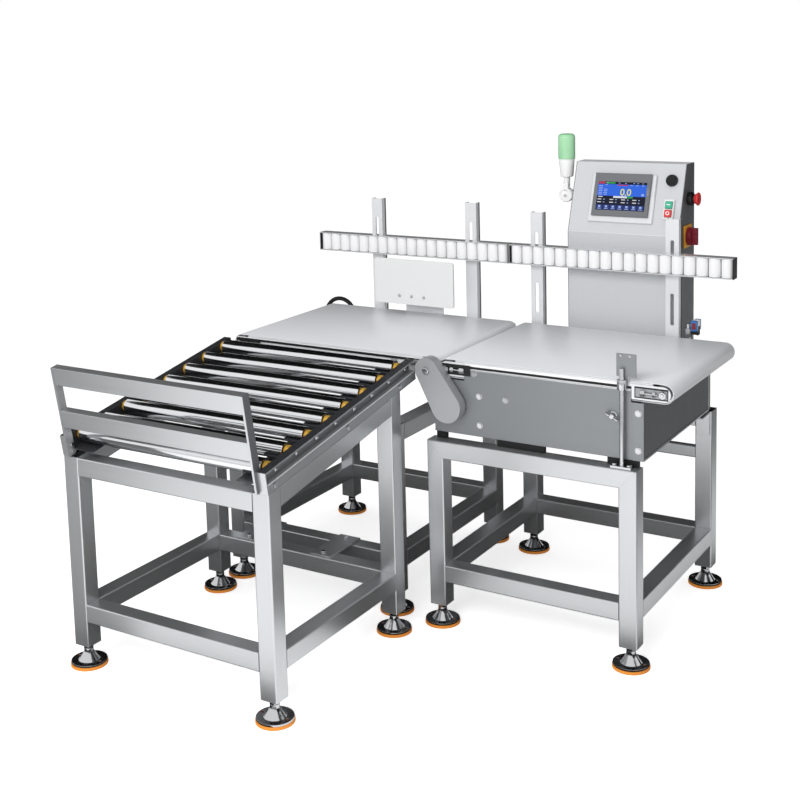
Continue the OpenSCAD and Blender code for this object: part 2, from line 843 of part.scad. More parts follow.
// slider bed that hangs in the box on a saddle under the return run
module weigh_bed() {
    x0 = weigh_in[0] + end_r + 4;
    x1 = weigh_out[0] - end_r - 4;
    color(alu) {
        conveyor_bed(x0, x1, weigh_in, end_r, weigh_out, end_r, belt_under - bed_edge);
        for (y = [side_y0, side_y1 - side_t])
            block(cell_x - 130, cell_x + 130, y, y + side_t, saddle_z, belt_under - bed_edge - seam);
        block(cell_x - 130, cell_x + 130, side_y0 + side_t + seam, side_y1 - side_t - seam,
            saddle_z, saddle_z + 6);
    }
}

module weigh_belt() {
    color(white) belt_loop(weigh_in, end_r, weigh_out, end_r, belt_t, by0, by1);
}

module drum_motor() {
    color(bright) belt_roller(weigh_out, end_r);
}

module weigh_idler() {
    color(bright) belt_roller(weigh_in, end_r);
}

// channel with slots through its front, open to the back
module guide_post(x, top, slots) {
    slot = 11;
    mid = x + post_w / 2;
    difference() {
        block(x, x + post_w, post_y, post_y + post_d, end_z - 20, top);
        block(x + post_wall, x + post_w - post_wall, post_y + post_wall, post_y + post_d + 1,
            end_z - 21, top + 1);
        for (z = slots)
            block(mid - slot / 2, mid + slot / 2, post_y - 1, post_y + post_wall + 1, z[0], z[1]);
    }
}

module guide_posts() {
    color(alu) {
        for (x = posts_left) guide_post(x, post_top, [[rail_z - 26, post_top - 62]]);
        for (x = posts_right) guide_post(x, post_top - right_drop,
            [[belt_top + 30, belt_top + 124], [rail_z - 26, post_top - right_drop - 62]]);
    }
}

// channel rail, open to the belt, with its clamp bolts
module guide_rail(x0, l, at) {
    z0 = rail_z - rail_h / 2;
    z1 = rail_z + rail_h / 2;
    color(alu) {
        difference() {
            block(x0, x0 + l, rail_y, rail_y + rail_d, z0, z1);
            block(x0 + 3, x0 + l - 3, rail_y - 1, rail_y + rail_d - rail_wall,
                z0 + rail_wall, z1 - rail_wall);
        }
        for (x = at) {
            bar_y(rail_y + rail_d - 1, post_y + post_wall + 10, x + post_w / 2, rail_z, 3.5);
            bar_y(post_y + post_wall + gap, post_y + post_wall + 8, x + post_w / 2, rail_z, 9);
        }
    }
}

module left_rail() {
    guide_rail(left_rail_x, left_rail_l, posts_left);
}

module right_rail() {
    guide_rail(right_rail_x, right_rail_l, posts_right);
}

// row of small upright rollers
module rail_rollers(x0, l) {
    pitch = (l - 6) / guide_n;
    h = rail_h - 2 * rail_wall - 2 * seam;
    color(white)
        for (i = [0 : guide_n - 1])
            bar_z(rail_z - h / 2, rail_z + h / 2, x0 + 3 + pitch * (i + 0.5), guide_y, guide_d / 2);
}

module left_rail_rollers() {
    rail_rollers(left_rail_x, left_rail_l);
}

module right_rail_rollers() {
    rail_rollers(right_rail_x, right_rail_l);
}

// guided cylinder on its bracket behind the reject belt
module pusher_cylinder() {
    z0 = push_z - block_h / 2;
    x0 = push_x - block_w / 2;
    x1 = x0 + block_w;
    xb = push_x + 16 - bracket_w / 2;
    y1 = block_y0 + block_l;
    color(alu) {
        difference() {
            block(x0, x1, block_y0, y1, z0, z0 + block_h);
            for (s = [-1, 0, 1]) bar_y(block_y0 - 1, y1 - 4, push_x + s * rod_set, push_z, rod_r + run);
        }
        block(x0, x1, side_y1 + seam, y1, z0 - 8, z0 - seam);
        block(xb, xb + bracket_w, side_y1 + seam, side_y1 + 6, end_z - 20, z0 - 7);
    }
}

// guide rods and piston rod on the tool bar
module pusher_rods() {
    y = push_y + plate_t;
    color(bright) {
        block(push_x - bar_half, push_x + bar_half, y + seam, y + bar_t, push_z - 14, push_z + 14);
        for (s = [-1, 0, 1])
            bar_y(y + bar_t - 1, block_y0 + block_l - 6, push_x + s * rod_set, push_z, rod_r);
    }
}

module pusher_plate() {
    x0 = push_x - plate_w / 2 + 8;
    x1 = x0 + plate_w;
    z0 = push_z - 28;
    z1 = z0 + plate_h;
    r = 9;
    color(white) {
        block(x0 + r, x1 - r, push_y, push_y + plate_t, z0, z1);
        block(x0, x1, push_y, push_y + plate_t, z0 + r, z1 - r);
        for (x = [x0 + r, x1 - r]) for (z = [z0 + r, z1 - r]) bar_y(push_y, push_y + plate_t, x, z, r);
        for (s = [-1, 0, 1]) bar_y(push_y - 2.5, push_y - 0.1, push_x + s * rod_set, push_z, 5);
    }
}

// frame of the slanted face: Z runs up the face, Y goes into it
module panel() {
    translate([0, cab_y0, cab_fold]) rotate([-lean, 0, 0]) children();
}

// side outline of the cabinet, drawn in by a margin
function cab_outline(o) = [
    [cab_y0 + o, cab_z0 + o], [cab_y1 - o, cab_z0 + o], [cab_y1 - o, cab_top - o],
    [cab_y0 + cab_lean + o, cab_top - o], [cab_y0 + o, cab_fold]
];

// welded sheet cabinet, open at the back, with the raised screen frame and its feet
module cabinet() {
    m = sheet + seam;
    color(steel) {
        for (x = [cab_x0, cab_x1 - sheet]) across(x, x + sheet) polygon(cab_outline(0));
        block(cab_x0 + m, cab_x1 - m, cab_y0, cab_y0 + sheet, cab_z0, cab_fold - seam);
        block(cab_x0 + m, cab_x1 - m, cab_y0 + m, cab_y1, cab_z0, cab_z0 + sheet);
        block(cab_x0 + m, cab_x1 - m, cab_y0 + cab_lean + m, cab_y1, cab_top - sheet, cab_top);
        panel() translate([cab_x0 + m, 0, seam]) cube([cab_w - 2 * m, sheet, face_l - 2 * seam]);
        panel() translate([hmi_x - 102, -6, hmi_z - 68]) cube([205, 6 - seam, 152]);
        for (x = [cab_x0 + 20, cab_x1 - 60])
            block(x, x + 40, wy1 - tube + 2, wy1 - 2, weigh_top + seam, cab_z0 - seam);
    }
}

// rear door with a turned-in lip and two hinge barrels
module cabinet_door() {
    color(steel) {
        difference() {
            block(cab_x0 + 1, cab_x1 - 1, cab_y1 + gap, cab_y1 + 4, cab_z0 + 2, cab_top - 2);
            block(cab_x0 + 4, cab_x1 - 4, cab_y1 + gap - 1, cab_y1 + 2, cab_z0 + 5, cab_top - 5);
        }
        for (z = [cab_z0 + hinge_l, cab_top - 2 * hinge_l])
            bar_z(z, z + hinge_l, cab_x0 + hinge_r, cab_y1 + gap + hinge_r, hinge_r);
    }
}

module touch_screen() {
    color(black) panel()
        difference() {
            translate([hmi_x - bezel_w / 2, -14, hmi_z - 50]) cube([bezel_w, 8 - seam, bezel_h]);
            translate([hmi_x - screen_w / 2, -15, hmi_z - 32]) cube([screen_w, 2, screen_h]);
        }
}

module buzzer() {
    color(black) panel() translate([button_x - 2, -seam, face_l - 52]) rotate([90, 0, 0]) {
        cylinder(h = 6, r = 18);
        translate([0, 0, 6]) cylinder(h = 5, r1 = 17, r2 = 14);
    }
}

module button_plate() {
    color(white) panel() translate([button_x, 0, button_z])
        difference() {
            translate([-15, -10, -30]) cube([30, 10 - seam, 60]);
            for (s = [-1, 1])
                translate([-key / 2 - gap, -14, s * button_gap - key / 2 - gap])
                    cube([key + 2 * gap, 10, key + 2 * gap]);
        }
}

// push button in its well
module push_button(s) {
    panel() translate([button_x - key / 2, -15, button_z + s * button_gap - key / 2]) cube([key, 7, key]);
}

module start_button() {
    color([0.31, 0.71, 0.58]) push_button(1);
}

module stop_button() {
    color([0.85, 0.33, 0.31]) push_button(-1);
}

module estop_base() {
    color(black) difference() {
        bar_x(cab_x1 + seam, cab_x1 + 14, side_y, estop_z, 20);
        bar_x(cab_x1 + 4, cab_x1 + 15, side_y, estop_z, 12 + gap);
    }
}

module estop_stem() {
    color(black) bar_x(cab_x1 + 10, cab_x1 + 24, side_y, estop_z, 12);
}

// mushroom head that twists on the stem
module estop_head() {
    x = cab_x1 + 20;
    color([0.82, 0.2, 0.2]) difference() {
        union() {
            bar_x(x, x + 10, side_y, estop_z, 20);
            translate([x + 9, side_y, estop_z]) rotate([0, 90, 0]) cylinder(h = 4, r1 = 20, r2 = 16);
        }
        bar_x(x - 1, x + 4 + seam, side_y, estop_z, 12 + run);
    }
}

module switch_plate() {
    color([0.94, 0.69, 0.2])
        block(cab_x1 + seam, cab_x1 + 5, side_y - 48, side_y + 16, switch_z - 33, switch_z + 33);
}

module switch_knob() {
    color([0.49, 0.12, 0.16]) {
        bar_x(cab_x1 + 5 + gap, cab_x1 + 18, side_y - 16, switch_z, 27);
        block(cab_x1 + 17, cab_x1 + 34, side_y - 22, side_y - 10, switch_z - 25, switch_z + 25);
    }
}

// flange, stub and fixed cheek on the cabinet side, with the pin of the folding joint
module lamp_mount() {
    color(white) {
        bar_x(cab_x0 - 5, cab_x0 - seam, lamp_y, lamp_z, 24);
        bar_x(lamp_x + 8, cab_x0 - 4, lamp_y + 8, lamp_z, 6);
        bar_y(lamp_y + 2, lamp_y + 15, lamp_x, lamp_z, 20);
        bar_y(lamp_y - 16, lamp_y + 3, lamp_x, lamp_z, 5);
    }
}

// moving cheek, neck and tapered base
module lamp_body() {
    color(white) difference() {
        union() {
            bar_y(lamp_y - 14, lamp_y + 1.5, lamp_x, lamp_z, 22);
            block(lamp_x - 9, lamp_x + 9, lamp_y - 13, lamp_y + 1, lamp_z + 12, lamp_z + 40);
            bar_z(lamp_z + 21, lamp_z + 58, lamp_x, lamp_y, 10);
            translate([lamp_x, lamp_y, lamp_z + cup_top - cup_l]) cylinder(h = cup_l, r1 = 20, r2 = 24);
        }
        bar_y(lamp_y - 20, lamp_y + 20, lamp_x, lamp_z, 5 + run);
    }
}

module lamp_lens() {
    color([0.62, 0.86, 0.65]) {
        bar_z(lamp_z + cup_top + seam, lamp_z + cup_top + lens_l, lamp_x, lamp_y, lens_r);
        translate([lamp_x, lamp_y, lamp_z + cup_top + lens_l - 1])
            cylinder(h = 6, r1 = lens_r, r2 = lens_r - 7);
    }
}

// front rod on the stand and rear rod on a bracket behind the box
module eye_rods() {
    color(bright) {
        difference() {
            block(eye_x - eye_foot, eye_x + eye_foot, eye_y - 11, eye_y + 11,
                weigh_top + seam, weigh_top + 6 + seam);
            for (s = [-1, 1]) bar_z(weigh_top - 1, weigh_top + 8, eye_x + s * 20, eye_y, 4.2);
        }
        bar_z(weigh_top + 5, eye_z - 8, eye_x, eye_y, eye_r);
        block(rear_x - 22, rear_x + 12, box_y1 + seam, box_y1 + 3, box_z1 - 60, box_z1 - 10);
        block(rear_x - 12, rear_x + 12, box_y1 + 2, rear_y + 12, box_z1 - 40, box_z1 - 34);
        bar_z(box_z1 - 35, eye_z - 8, rear_x, rear_y, eye_r);
    }
}

// clamp collar that slides on a rod
module collar(x, y, z) {
    difference() {
        bar_z(z, z + 26, x, y, 12);
        bar_z(z - 1, z + 27, x, y, eye_r + run);
    }
}

// plate with two fixing holes on the arm of its collar
module reflector() {
    z = belt_top - 20;
    color(bright) difference() {
        union() {
            bar_z(z, z + 26, eye_x, eye_y, 12);
            block(eye_x - 6, eye_x + 12, eye_y + 7, eye_y + 11, z + 4, z + 40);
            block(eye_x - 17, eye_x + 36, eye_y + 7, eye_y + 11, z + 32, z + 92);
        }
        for (x = [-7, 18]) bar_y(eye_y + 6, eye_y + 12, eye_x + x, z + 85, 3.5);
        bar_z(z - 1, z + 27, eye_x, eye_y, eye_r + run);
    }
}

module photo_sensor() {
    z = belt_top - 4;
    color([0.16, 0.3, 0.62]) {
        collar(rear_x, rear_y, z);
        block(rear_x + 10, rear_x + 32, rear_y - 5, rear_y + 5, z + 8, z + 22);
        block(rear_x + 14, rear_x + 32, rear_y - 22, rear_y + 22, z + 21, z + 52);
    }
}

roller_stand();
reject_stand();
weigh_stand();
foot_pads();
foot_bases();
leg_plugs();
flat_brackets();
hex_bolts();
roller_channels();
stop_fence();
roller_bearings();
roller_1();
roller_2();
roller_3();
roller_4();
roller_5();
roller_6();
roller_7();
roller_8();
reject_bed();
reject_belt();
reject_drive_roller();
reject_idler();
timing_belt();
motor_pulley();
gear_motor();
belt_guard();
base_box();
rubber_mounts();
load_cell();
weigh_bed();
weigh_belt();
drum_motor();
weigh_idler();
guide_posts();
left_rail();
right_rail();
left_rail_rollers();
right_rail_rollers();
pusher_cylinder();
pusher_rods();
pusher_plate();
cabinet();
cabinet_door();
touch_screen();
buzzer();
button_plate();
start_button();
stop_button();
estop_base();
estop_stem();
estop_head();
switch_plate();
switch_knob();
lamp_mount();
lamp_body();
lamp_lens();
eye_rods();
reflector();
photo_sensor();
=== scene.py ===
"""Dresses the carton checkweigher: tube stands, roller table, two belts, guides, cabinet and lamp."""

import json
import math

import bmesh
import bpy
from bpy.props import FloatProperty, FloatVectorProperty, PointerProperty, StringProperty
from mathutils import Matrix, Vector


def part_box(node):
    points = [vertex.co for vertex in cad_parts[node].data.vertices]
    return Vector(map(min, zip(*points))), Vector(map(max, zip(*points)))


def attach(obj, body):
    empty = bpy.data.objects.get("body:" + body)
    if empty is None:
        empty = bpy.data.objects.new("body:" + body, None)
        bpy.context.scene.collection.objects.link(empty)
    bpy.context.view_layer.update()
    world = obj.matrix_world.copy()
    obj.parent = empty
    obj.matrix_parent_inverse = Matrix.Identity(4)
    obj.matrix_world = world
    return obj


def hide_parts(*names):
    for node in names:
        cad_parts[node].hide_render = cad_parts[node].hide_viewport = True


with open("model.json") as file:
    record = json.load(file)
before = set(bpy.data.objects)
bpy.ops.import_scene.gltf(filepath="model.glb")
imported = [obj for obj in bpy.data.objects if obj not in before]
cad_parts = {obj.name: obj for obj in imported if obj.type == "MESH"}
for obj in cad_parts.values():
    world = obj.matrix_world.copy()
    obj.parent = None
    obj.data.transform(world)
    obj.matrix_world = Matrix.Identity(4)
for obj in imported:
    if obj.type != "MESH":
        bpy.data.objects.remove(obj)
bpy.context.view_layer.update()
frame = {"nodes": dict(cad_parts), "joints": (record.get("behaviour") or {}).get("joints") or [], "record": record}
NODES = frame["nodes"]
JOINTS = {joint["name"]: joint for joint in frame["joints"]}
BODY_OF = {node: body for body, nodes in frame["record"]["behaviour"]["bodies"].items() for node in nodes}
SLOT_OF = {part["node"]: part["material_slot"] for part in frame["record"]["subparts"]}
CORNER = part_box("weigh_stand")[0]

bl_info = {
    "name": "Checkweigher dressing",
    "version": (1, 0, 0),
    "blender": (4, 5, 0),
    "location": "3D View > Sidebar > Checkweigher",
    "description": "Models and paints the visible pieces of a carton checkweigher on its packed frame",
    "category": "Object",
}

MM = 0.001
SENSOR = 36.0
ROLLERS = ["roller_%d" % i for i in range(1, 9)]
# first roller's axle from the lower end and from the underside of the table's channels
FIRST_AXLE = (51 * MM, 46 * MM)
# height at which the cabinet's front folds into the slanted face
FACE_FOLD = 1058 * MM


def at(x, y, z):
    """A point in millimetres from the weigh stand's front left corner, with z from the floor."""
    return Vector((CORNER.x + x * MM, CORNER.y + y * MM, z * MM))


def mm(*values):
    """A vector that is given in millimetres"""
    return Vector(values) * MM


def number(name, description, value, unit="NONE"):
    return FloatProperty(name=name, description=description, default=value, unit=unit)


def colour_code(name, description, code):
    return StringProperty(name=name, description=description, default=code)


class MachineSizes(bpy.types.PropertyGroup):
    """Small sizes that the solids leave sharp"""

    tube_radius: number("Tube corner", "Outer corner radius of the square frame tube", 3.0 * MM, "LENGTH")
    sheet_radius: number("Sheet fold", "Outer radius of folded sheet edges", 1.5 * MM, "LENGTH")
    fine_radius: number("Broken edge", "Radius of broken edges on small pieces", 0.6 * MM, "LENGTH")
    hose: number("Air hose", "Outer diameter of the air hose", 14.0 * MM, "LENGTH")
    digits: number("Readout", "Height of the weight readout", 21.0 * MM, "LENGTH")


class MachineColours(bpy.types.PropertyGroup):
    """Colours as sRGB hex values"""

    steel: colour_code("Frame steel", "Satin stainless tube", "#cfd1d3")
    plate: colour_code("Box steel", "Brushed sheet of the base box", "#94979a")
    # The side sheet colour is painted shade: sides turned from the light get this darker tone of the same steel.
    shade: colour_code("Side sheet", "Darker rolled sheet of the end panels", "#77797c")
    cabinet: colour_code("Cabinet steel", "Fine brushed sheet of the cabinet", "#ced0d3")
    belt: colour_code("Belt", "White conveyor belting", "#dfe0e3")
    # On the roller channels this colour is painted shade on the top flanges.
    channel: colour_code("Channel", "Dark coated roller channel", "#3c3d40")
    gold: colour_code("Bearing cap", "Yellow zinc-plated bearing cap", "#deb04c")
    lens: colour_code("Lamp lens", "Pale green lamp lens", "#b0e8b8")


class MachineStage(bpy.types.PropertyGroup):
    """Light and camera of the studio"""

    key: number("Key light", "Power of the large front softbox", 88.0, "POWER")
    fill: number("Fill light", "Power of the overhead softbox", 12.0, "POWER")
    sky: number("Room light", "Strength of the even room light", 0.46)
    focal: number("Focal length", "Lens of the camera in millimetres", 59.29)
    shift: FloatVectorProperty(name="Lens shift", description="Shift that frames the machine as photographed",
                               default=(0.0449, -0.2291), size=2)


def linear(code, alpha=1.0):
    """sRGB hex to linear RGBA"""
    parts = [int(code[i:i + 2], 16) / 255 for i in (1, 3, 5)]
    return [c / 12.92 if c <= 0.04045 else ((c + 0.055) / 1.055) ** 2.4 for c in parts] + [alpha]


def add(tree, kind, inputs=(), **settings):
    """Adds a node, sets its settings and fills or links its inputs"""
    node = tree.nodes.new(kind)
    for name, value in settings.items():
        setattr(node, name, value)
    for name, value in dict(inputs).items():
        if isinstance(value, bpy.types.NodeSocket):
            tree.links.new(value, node.inputs[name])
        else:
            node.inputs[name].default_value = value
    return node


def shader(name, colour, **sockets):
    """A Principled material with constant sockets; returns the material, its tree and its shader"""
    material = bpy.data.materials.new(name)
    material.use_nodes = True
    tree = material.node_tree
    principled = tree.nodes["Principled BSDF"]
    principled.inputs["Base Color"].default_value = linear(colour)
    for socket, value in sockets.items():
        principled.inputs[socket.replace("_", " ")].default_value = value
    return material, tree, principled


def blend(tree, factor, low, high):
    """Mixes two colours; a Mix node's colour sockets share their names with others, so they go by number"""
    return add(tree, "ShaderNodeMix", {0: factor, 6: low, 7: high}, data_type="RGBA").outputs[2]


def grained(name, colour, grain, spread, rough, bump=0.0, stretch=(1, 1, 1), **sockets):
    """A material whose colour and roughness vary over Object coordinates, with a grain in millimetres"""
    made, tree, principled = shader(name, colour, **sockets)
    place = add(tree, "ShaderNodeTexCoord").outputs["Object"]
    turned = add(tree, "ShaderNodeMapping", {"Vector": place, "Scale": stretch}).outputs["Vector"]
    fine = {"Vector": turned, "Scale": 1 / (grain * MM), "Detail": 3.0}
    noise = add(tree, "ShaderNodeTexNoise", fine).outputs["Fac"]
    low, high = ([min(1.0, c * (1 + way * spread)) for c in linear(colour)[:3]] + [1] for way in (-1, 1))
    tree.links.new(blend(tree, noise, low, high), principled.inputs["Base Color"])
    limits = {"Value": noise, "From Min": 0.3, "From Max": 0.7, "To Min": rough[0], "To Max": rough[1]}
    varied = add(tree, "ShaderNodeMapRange", limits).outputs["Result"]
    tree.links.new(varied, principled.inputs["Roughness"])
    if bump:
        raised = add(tree, "ShaderNodeBump", {"Height": noise, "Strength": bump, "Distance": 0.4 * MM})
        tree.links.new(raised.outputs["Normal"], principled.inputs["Normal"])
    return made


MADE = {}


def material(name):
    """Materials by the name of what they are; each is made once"""
    if name not in MADE:
        MADE[name] = PAINTS[name](name)
    return MADE[name]


def colours():
    return bpy.context.scene.checkweigher_colours


def sizes():
    return bpy.context.scene.checkweigher_sizes


def satin_steel(name):
    # Satin 304 tube, belt-ground: streaks along the tube, soft broad highlights. Real grit lines are
    # about 0.2 mm apart; they are drawn 6 mm wide and 0.3 m long so that they show.
    stretch = {"x": (0.02, 1, 1), "y": (1, 0.02, 1), "z": (1, 1, 0.02)}[name[-1]]
    return grained(name, colours().steel, 6, 0.025, (0.28, 0.34), 0.008, stretch, Metallic=0.85)


def plate_steel(name):
    # No. 4 brushed sheet: long faint horizontal grain, darker than the tube. Grain drawn 4 mm wide.
    return grained(name, colours().plate, 4, 0.04, (0.4, 0.5), 0.02, (0.01, 1, 1), Metallic=0.72)


def shade_steel(name):
    # Side sheet, cold-rolled: dull and smoother, with broad roll marks about 60 mm across; its darker tone is
    # painted shade on the sides turned from the light.
    return grained(name, colours().shade, 60, 0.05, (0.42, 0.52), Metallic=0.6)


def cabinet_steel(name):
    # Fine brushed cabinet sheet: vertical grain, silky sheen. Grain drawn 3 mm wide.
    return grained(name, colours().cabinet, 3, 0.03, (0.48, 0.56), 0.02, (1, 1, 0.012), Metallic=0.12)


def polished_steel(name):
    # Turned and polished steel: mirror-like, faint turning marks 2 mm apart.
    return grained(name, "#c9cacc", 2, 0.06, (0.1, 0.2), Metallic=1.0)


def roller_chrome(name):
    # Hard-chromed roller tube: deep mirror with hairline marks around it, drawn 5 mm wide.
    return grained(name, "#e2e3e5", 5, 0.02, (0.1, 0.13), 0.0, (1, 0.1, 0.1), Metallic=1.0)


def aluminium(name):
    # Natural anodised extrusion: even pale grey with a silky, slightly streaked surface, streaks 5 mm wide.
    return grained(name, "#e6e7e9", 5, 0.03, (0.32, 0.42), 0.0, (1, 1, 0.03), Metallic=0.3)


def rail_steel(name):
    # Folded bright stainless rail: pale and glossy, with faint roll streaks along it, 4 mm wide.
    return grained(name, "#dddee0", 4, 0.03, (0.16, 0.22), 0.0, (0.02, 1, 1), Metallic=0.55)


def cover_steel(name):
    # Pressed guard cover: smooth mid-grey metal with soft cloudy patches 40 mm across.
    return grained(name, "#a9abad", 40, 0.04, (0.34, 0.42), Metallic=0.4)


def channel_steel(name):
    # Mill-finish channel web: mid-grey rolled steel with streaks along it, drawn 5 mm wide.
    return grained(name, "#9da0a2", 5, 0.08, (0.28, 0.4), 0.02, (1, 0.03, 1), Metallic=0.4)


def frame_silver(name):
    # Pressed aluminium trim around the screen: almost white, satin, with a fine 2 mm tumble grain.
    return grained(name, "#e2e3e5", 2, 0.03, (0.3, 0.38), Metallic=0.35)


def dark_channel(name):
    # Semi-gloss charcoal with an orange-peel about 2 mm across; on the gear motor it is its own coat, on the
    # roller channels it is painted shade on the top flanges and on the plates under the roller ends.
    return grained(name, colours().channel, 2, 0.12, (0.24, 0.36), 0.05, Metallic=0.35)


def gold_cap(name):
    # Yellow-passivated zinc on the bearing caps: warm metal with cloudy patches 5 mm across.
    return grained(name, colours().gold, 5, 0.15, (0.28, 0.42), Metallic=0.45)


def belt_white(name):
    # PU belting with a fine woven impression: matt, faintly glossy. The 1 mm weave is drawn at 3 mm.
    return grained(name, colours().belt, 3, 0.02, (0.34, 0.42), 0.06, IOR=1.5)


def rubber(colour, grain):
    # Moulded rubber: matt with a fine cast grain.
    return lambda name: grained(name, colour, grain, 0.1, (0.55, 0.7), 0.1, IOR=1.52)


def plastic(colour, rough=(0.28, 0.36)):
    # Injection-moulded ABS: even colour, satin gloss with a faint spark-eroded grain, drawn 2.5 mm wide.
    return lambda name: grained(name, colour, 2.5, 0.04, rough, 0.03, IOR=1.53)


def lit(colour, strength=0.9):
    # Backlit display area under glass: the colour glows evenly behind a dull, almost black front.
    look = {"Base_Color": (0.01, 0.01, 0.012, 1), "Roughness": 0.4, "Specular_IOR_Level": 0.1}
    glow = {"Emission_Color": linear(colour), "Emission_Strength": strength}
    return lambda name: shader(name, colour, **look, **glow)[0]


def lens_green(name):
    # Moulded polycarbonate lens: milky pale green, lighter where one looks straight in, deeper at the rim.
    made, tree, principled = shader(name, colours().lens, IOR=1.58, Roughness=0.16, Transmission_Weight=0.12)
    rim = add(tree, "ShaderNodeLayerWeight", {"Blend": 0.35}).outputs["Facing"]
    tint = blend(tree, rim, linear(colours().lens), linear("#92d9a2"))
    tree.links.new(tint, principled.inputs["Base Color"])
    return made


PAINTS = {
    "satin_steel_x": satin_steel, "satin_steel_y": satin_steel, "satin_steel_z": satin_steel,
    **{paint.__name__: paint for paint in (
        plate_steel, shade_steel, cabinet_steel, polished_steel, roller_chrome, aluminium, channel_steel,
        frame_silver, rail_steel, cover_steel, dark_channel, gold_cap, belt_white, lens_green)},
    "pad_rubber": rubber("#f2993a", 3), "black_rubber": rubber("#121213", 2),
    "black_plastic": plastic("#131314", (0.42, 0.52)), "grey_plastic": plastic("#6c6e72", (0.4, 0.48)),
    "white_plastic": plastic("#e9e9ea"), "lamp_white": plastic("#f3f3f3", (0.3, 0.38)),
    "plate_white": plastic("#e2e3e3"), "mark_white": plastic("#f4f4f4"),
    "roller_white": plastic("#f1f1f2", (0.3, 0.4)), "green_plastic": plastic("#3fae8b", (0.2, 0.28)),
    "red_plastic": plastic("#d5383a", (0.18, 0.26)), "yellow_plastic": plastic("#efaa35"),
    "maroon_plastic": plastic("#7c1c2b", (0.22, 0.3)), "blue_plastic": plastic("#2b6fb5", (0.2, 0.28)),
    "window_red": plastic("#7a1f26", (0.1, 0.16)),
    "screen_dark": lit("#080c18"), "screen_blue": lit("#2f6be8"), "screen_red": lit("#c8324b"),
    "screen_green": lit("#2fa34a"), "screen_white": lit("#e8ecf2"), "screen_digit": lit("#e3df6c", 1.0),
    "screen_icon": lit("#2a3f86"), "screen_glyph": lit("#a9bdf0"), "screen_navy": lit("#0b1026"),
}


def cad_copy(node):
    """The node's mesh with its triangles merged into whole faces"""
    bm = bmesh.new()
    bm.from_mesh(NODES[node].data)
    bmesh.ops.remove_doubles(bm, verts=bm.verts, dist=1e-6)
    bmesh.ops.dissolve_limit(bm, angle_limit=math.radians(0.4), verts=bm.verts, edges=bm.edges)
    return bm


def islands(bm):
    """Lists of vertices, one list for each loose solid"""
    seen, found = set(), []
    for start in bm.verts:
        if start in seen:
            continue
        seen.add(start)
        group, front = [start], [start]
        while front:
            for edge in front.pop().link_edges:
                for vert in edge.verts:
                    if vert not in seen:
                        seen.add(vert)
                        group.append(vert)
                        front.append(vert)
        found.append(group)
    return found


def round_edges(bm, verts, radius, segments=2, least=0.0, sharp=40):
    """Rounds the sharp outer edges of one solid that are at least so long"""
    edges = {edge for vert in verts for edge in vert.link_edges}
    picked = [
        edge for edge in edges
        if len(edge.link_faces) == 2 and edge.is_convex and edge.calc_length() >= least
        and edge.calc_face_angle() > math.radians(sharp)
    ]
    if picked:
        bmesh.ops.bevel(bm, geom=picked, offset=radius, offset_type="OFFSET", affect="EDGES",
                        segments=segments, profile=0.5, material=-1, clamp_overlap=True)


def span(group, axis):
    """Extent of one solid along X, Y or Z, as 0, 1 or 2"""
    return max(v.co[axis] for v in group) - min(v.co[axis] for v in group)


def mark(group, index):
    """Gives all faces of one solid the material of that number"""
    for face in {f for v in group for f in v.link_faces}:
        face.material_index = index


def mark_new(bm, before, index):
    """Gives the faces that weren't there before the material of that number"""
    for face in bm.faces:
        if face not in before:
            face.material_index = index


def fresh(bm, before):
    """The vertices that weren't there before"""
    return [v for v in bm.verts if v not in before]


def block(bm, low, high, radius=0.0, segments=2, turn=None):
    """A block with rounded edges from corner to corner, turned by a matrix"""
    before = set(bm.verts)
    middle, size = (Vector(low) + Vector(high)) / 2, Vector(high) - Vector(low)
    bmesh.ops.create_cube(bm, size=1, matrix=Matrix.Translation(middle) @ Matrix.Diagonal(size.to_4d()))
    if radius:
        round_edges(bm, fresh(bm, before), radius, segments)
    if turn:
        bmesh.ops.transform(bm, matrix=turn, verts=fresh(bm, before))


def lathe(bm, profile, turn, steps=40):
    """Spins (radius, height) points in millimetres around Z and turns the result into place"""
    before = set(bm.verts)
    verts = [bm.verts.new((r * MM, 0, h * MM)) for r, h in profile]
    edges = [bm.edges.new(pair) for pair in zip(verts, verts[1:])]
    bmesh.ops.spin(bm, geom=verts + edges, cent=(0, 0, 0), axis=(0, 0, 1), angle=2 * math.pi, steps=steps,
                   use_merge=True)
    bmesh.ops.remove_doubles(bm, verts=fresh(bm, before), dist=1e-6)
    new = fresh(bm, before)
    bmesh.ops.recalc_face_normals(bm, faces=list({f for v in new for f in v.link_faces}))
    bmesh.ops.transform(bm, matrix=turn, verts=new)


def hexagon(bm, width, height, turn):
    """A chamfered hex head, in millimetres, standing on the plane Z = 0"""
    before = set(bm.verts)
    radius, depth = width * MM / math.sqrt(3), height * MM
    made = bmesh.ops.create_cone(bm, cap_ends=True, segments=6, radius1=radius, radius2=radius, depth=depth)
    bmesh.ops.translate(bm, verts=made["verts"], vec=(0, 0, depth / 2))
    top = [e for e in {e for v in made["verts"] for e in v.link_edges}
           if all(v.co.z > depth * 0.9 for v in e.verts)]
    bmesh.ops.bevel(bm, geom=top, offset=depth * 0.16, offset_type="OFFSET", affect="EDGES", segments=1,
                    profile=0.5, material=-1)
    bmesh.ops.transform(bm, matrix=turn, verts=fresh(bm, before))


def facing(point, axis):
    """A matrix that puts Z along axis at a point"""
    turn = Vector((0, 0, 1)).rotation_difference(Vector(axis))
    return Matrix.Translation(point) @ turn.to_matrix().to_4x4()


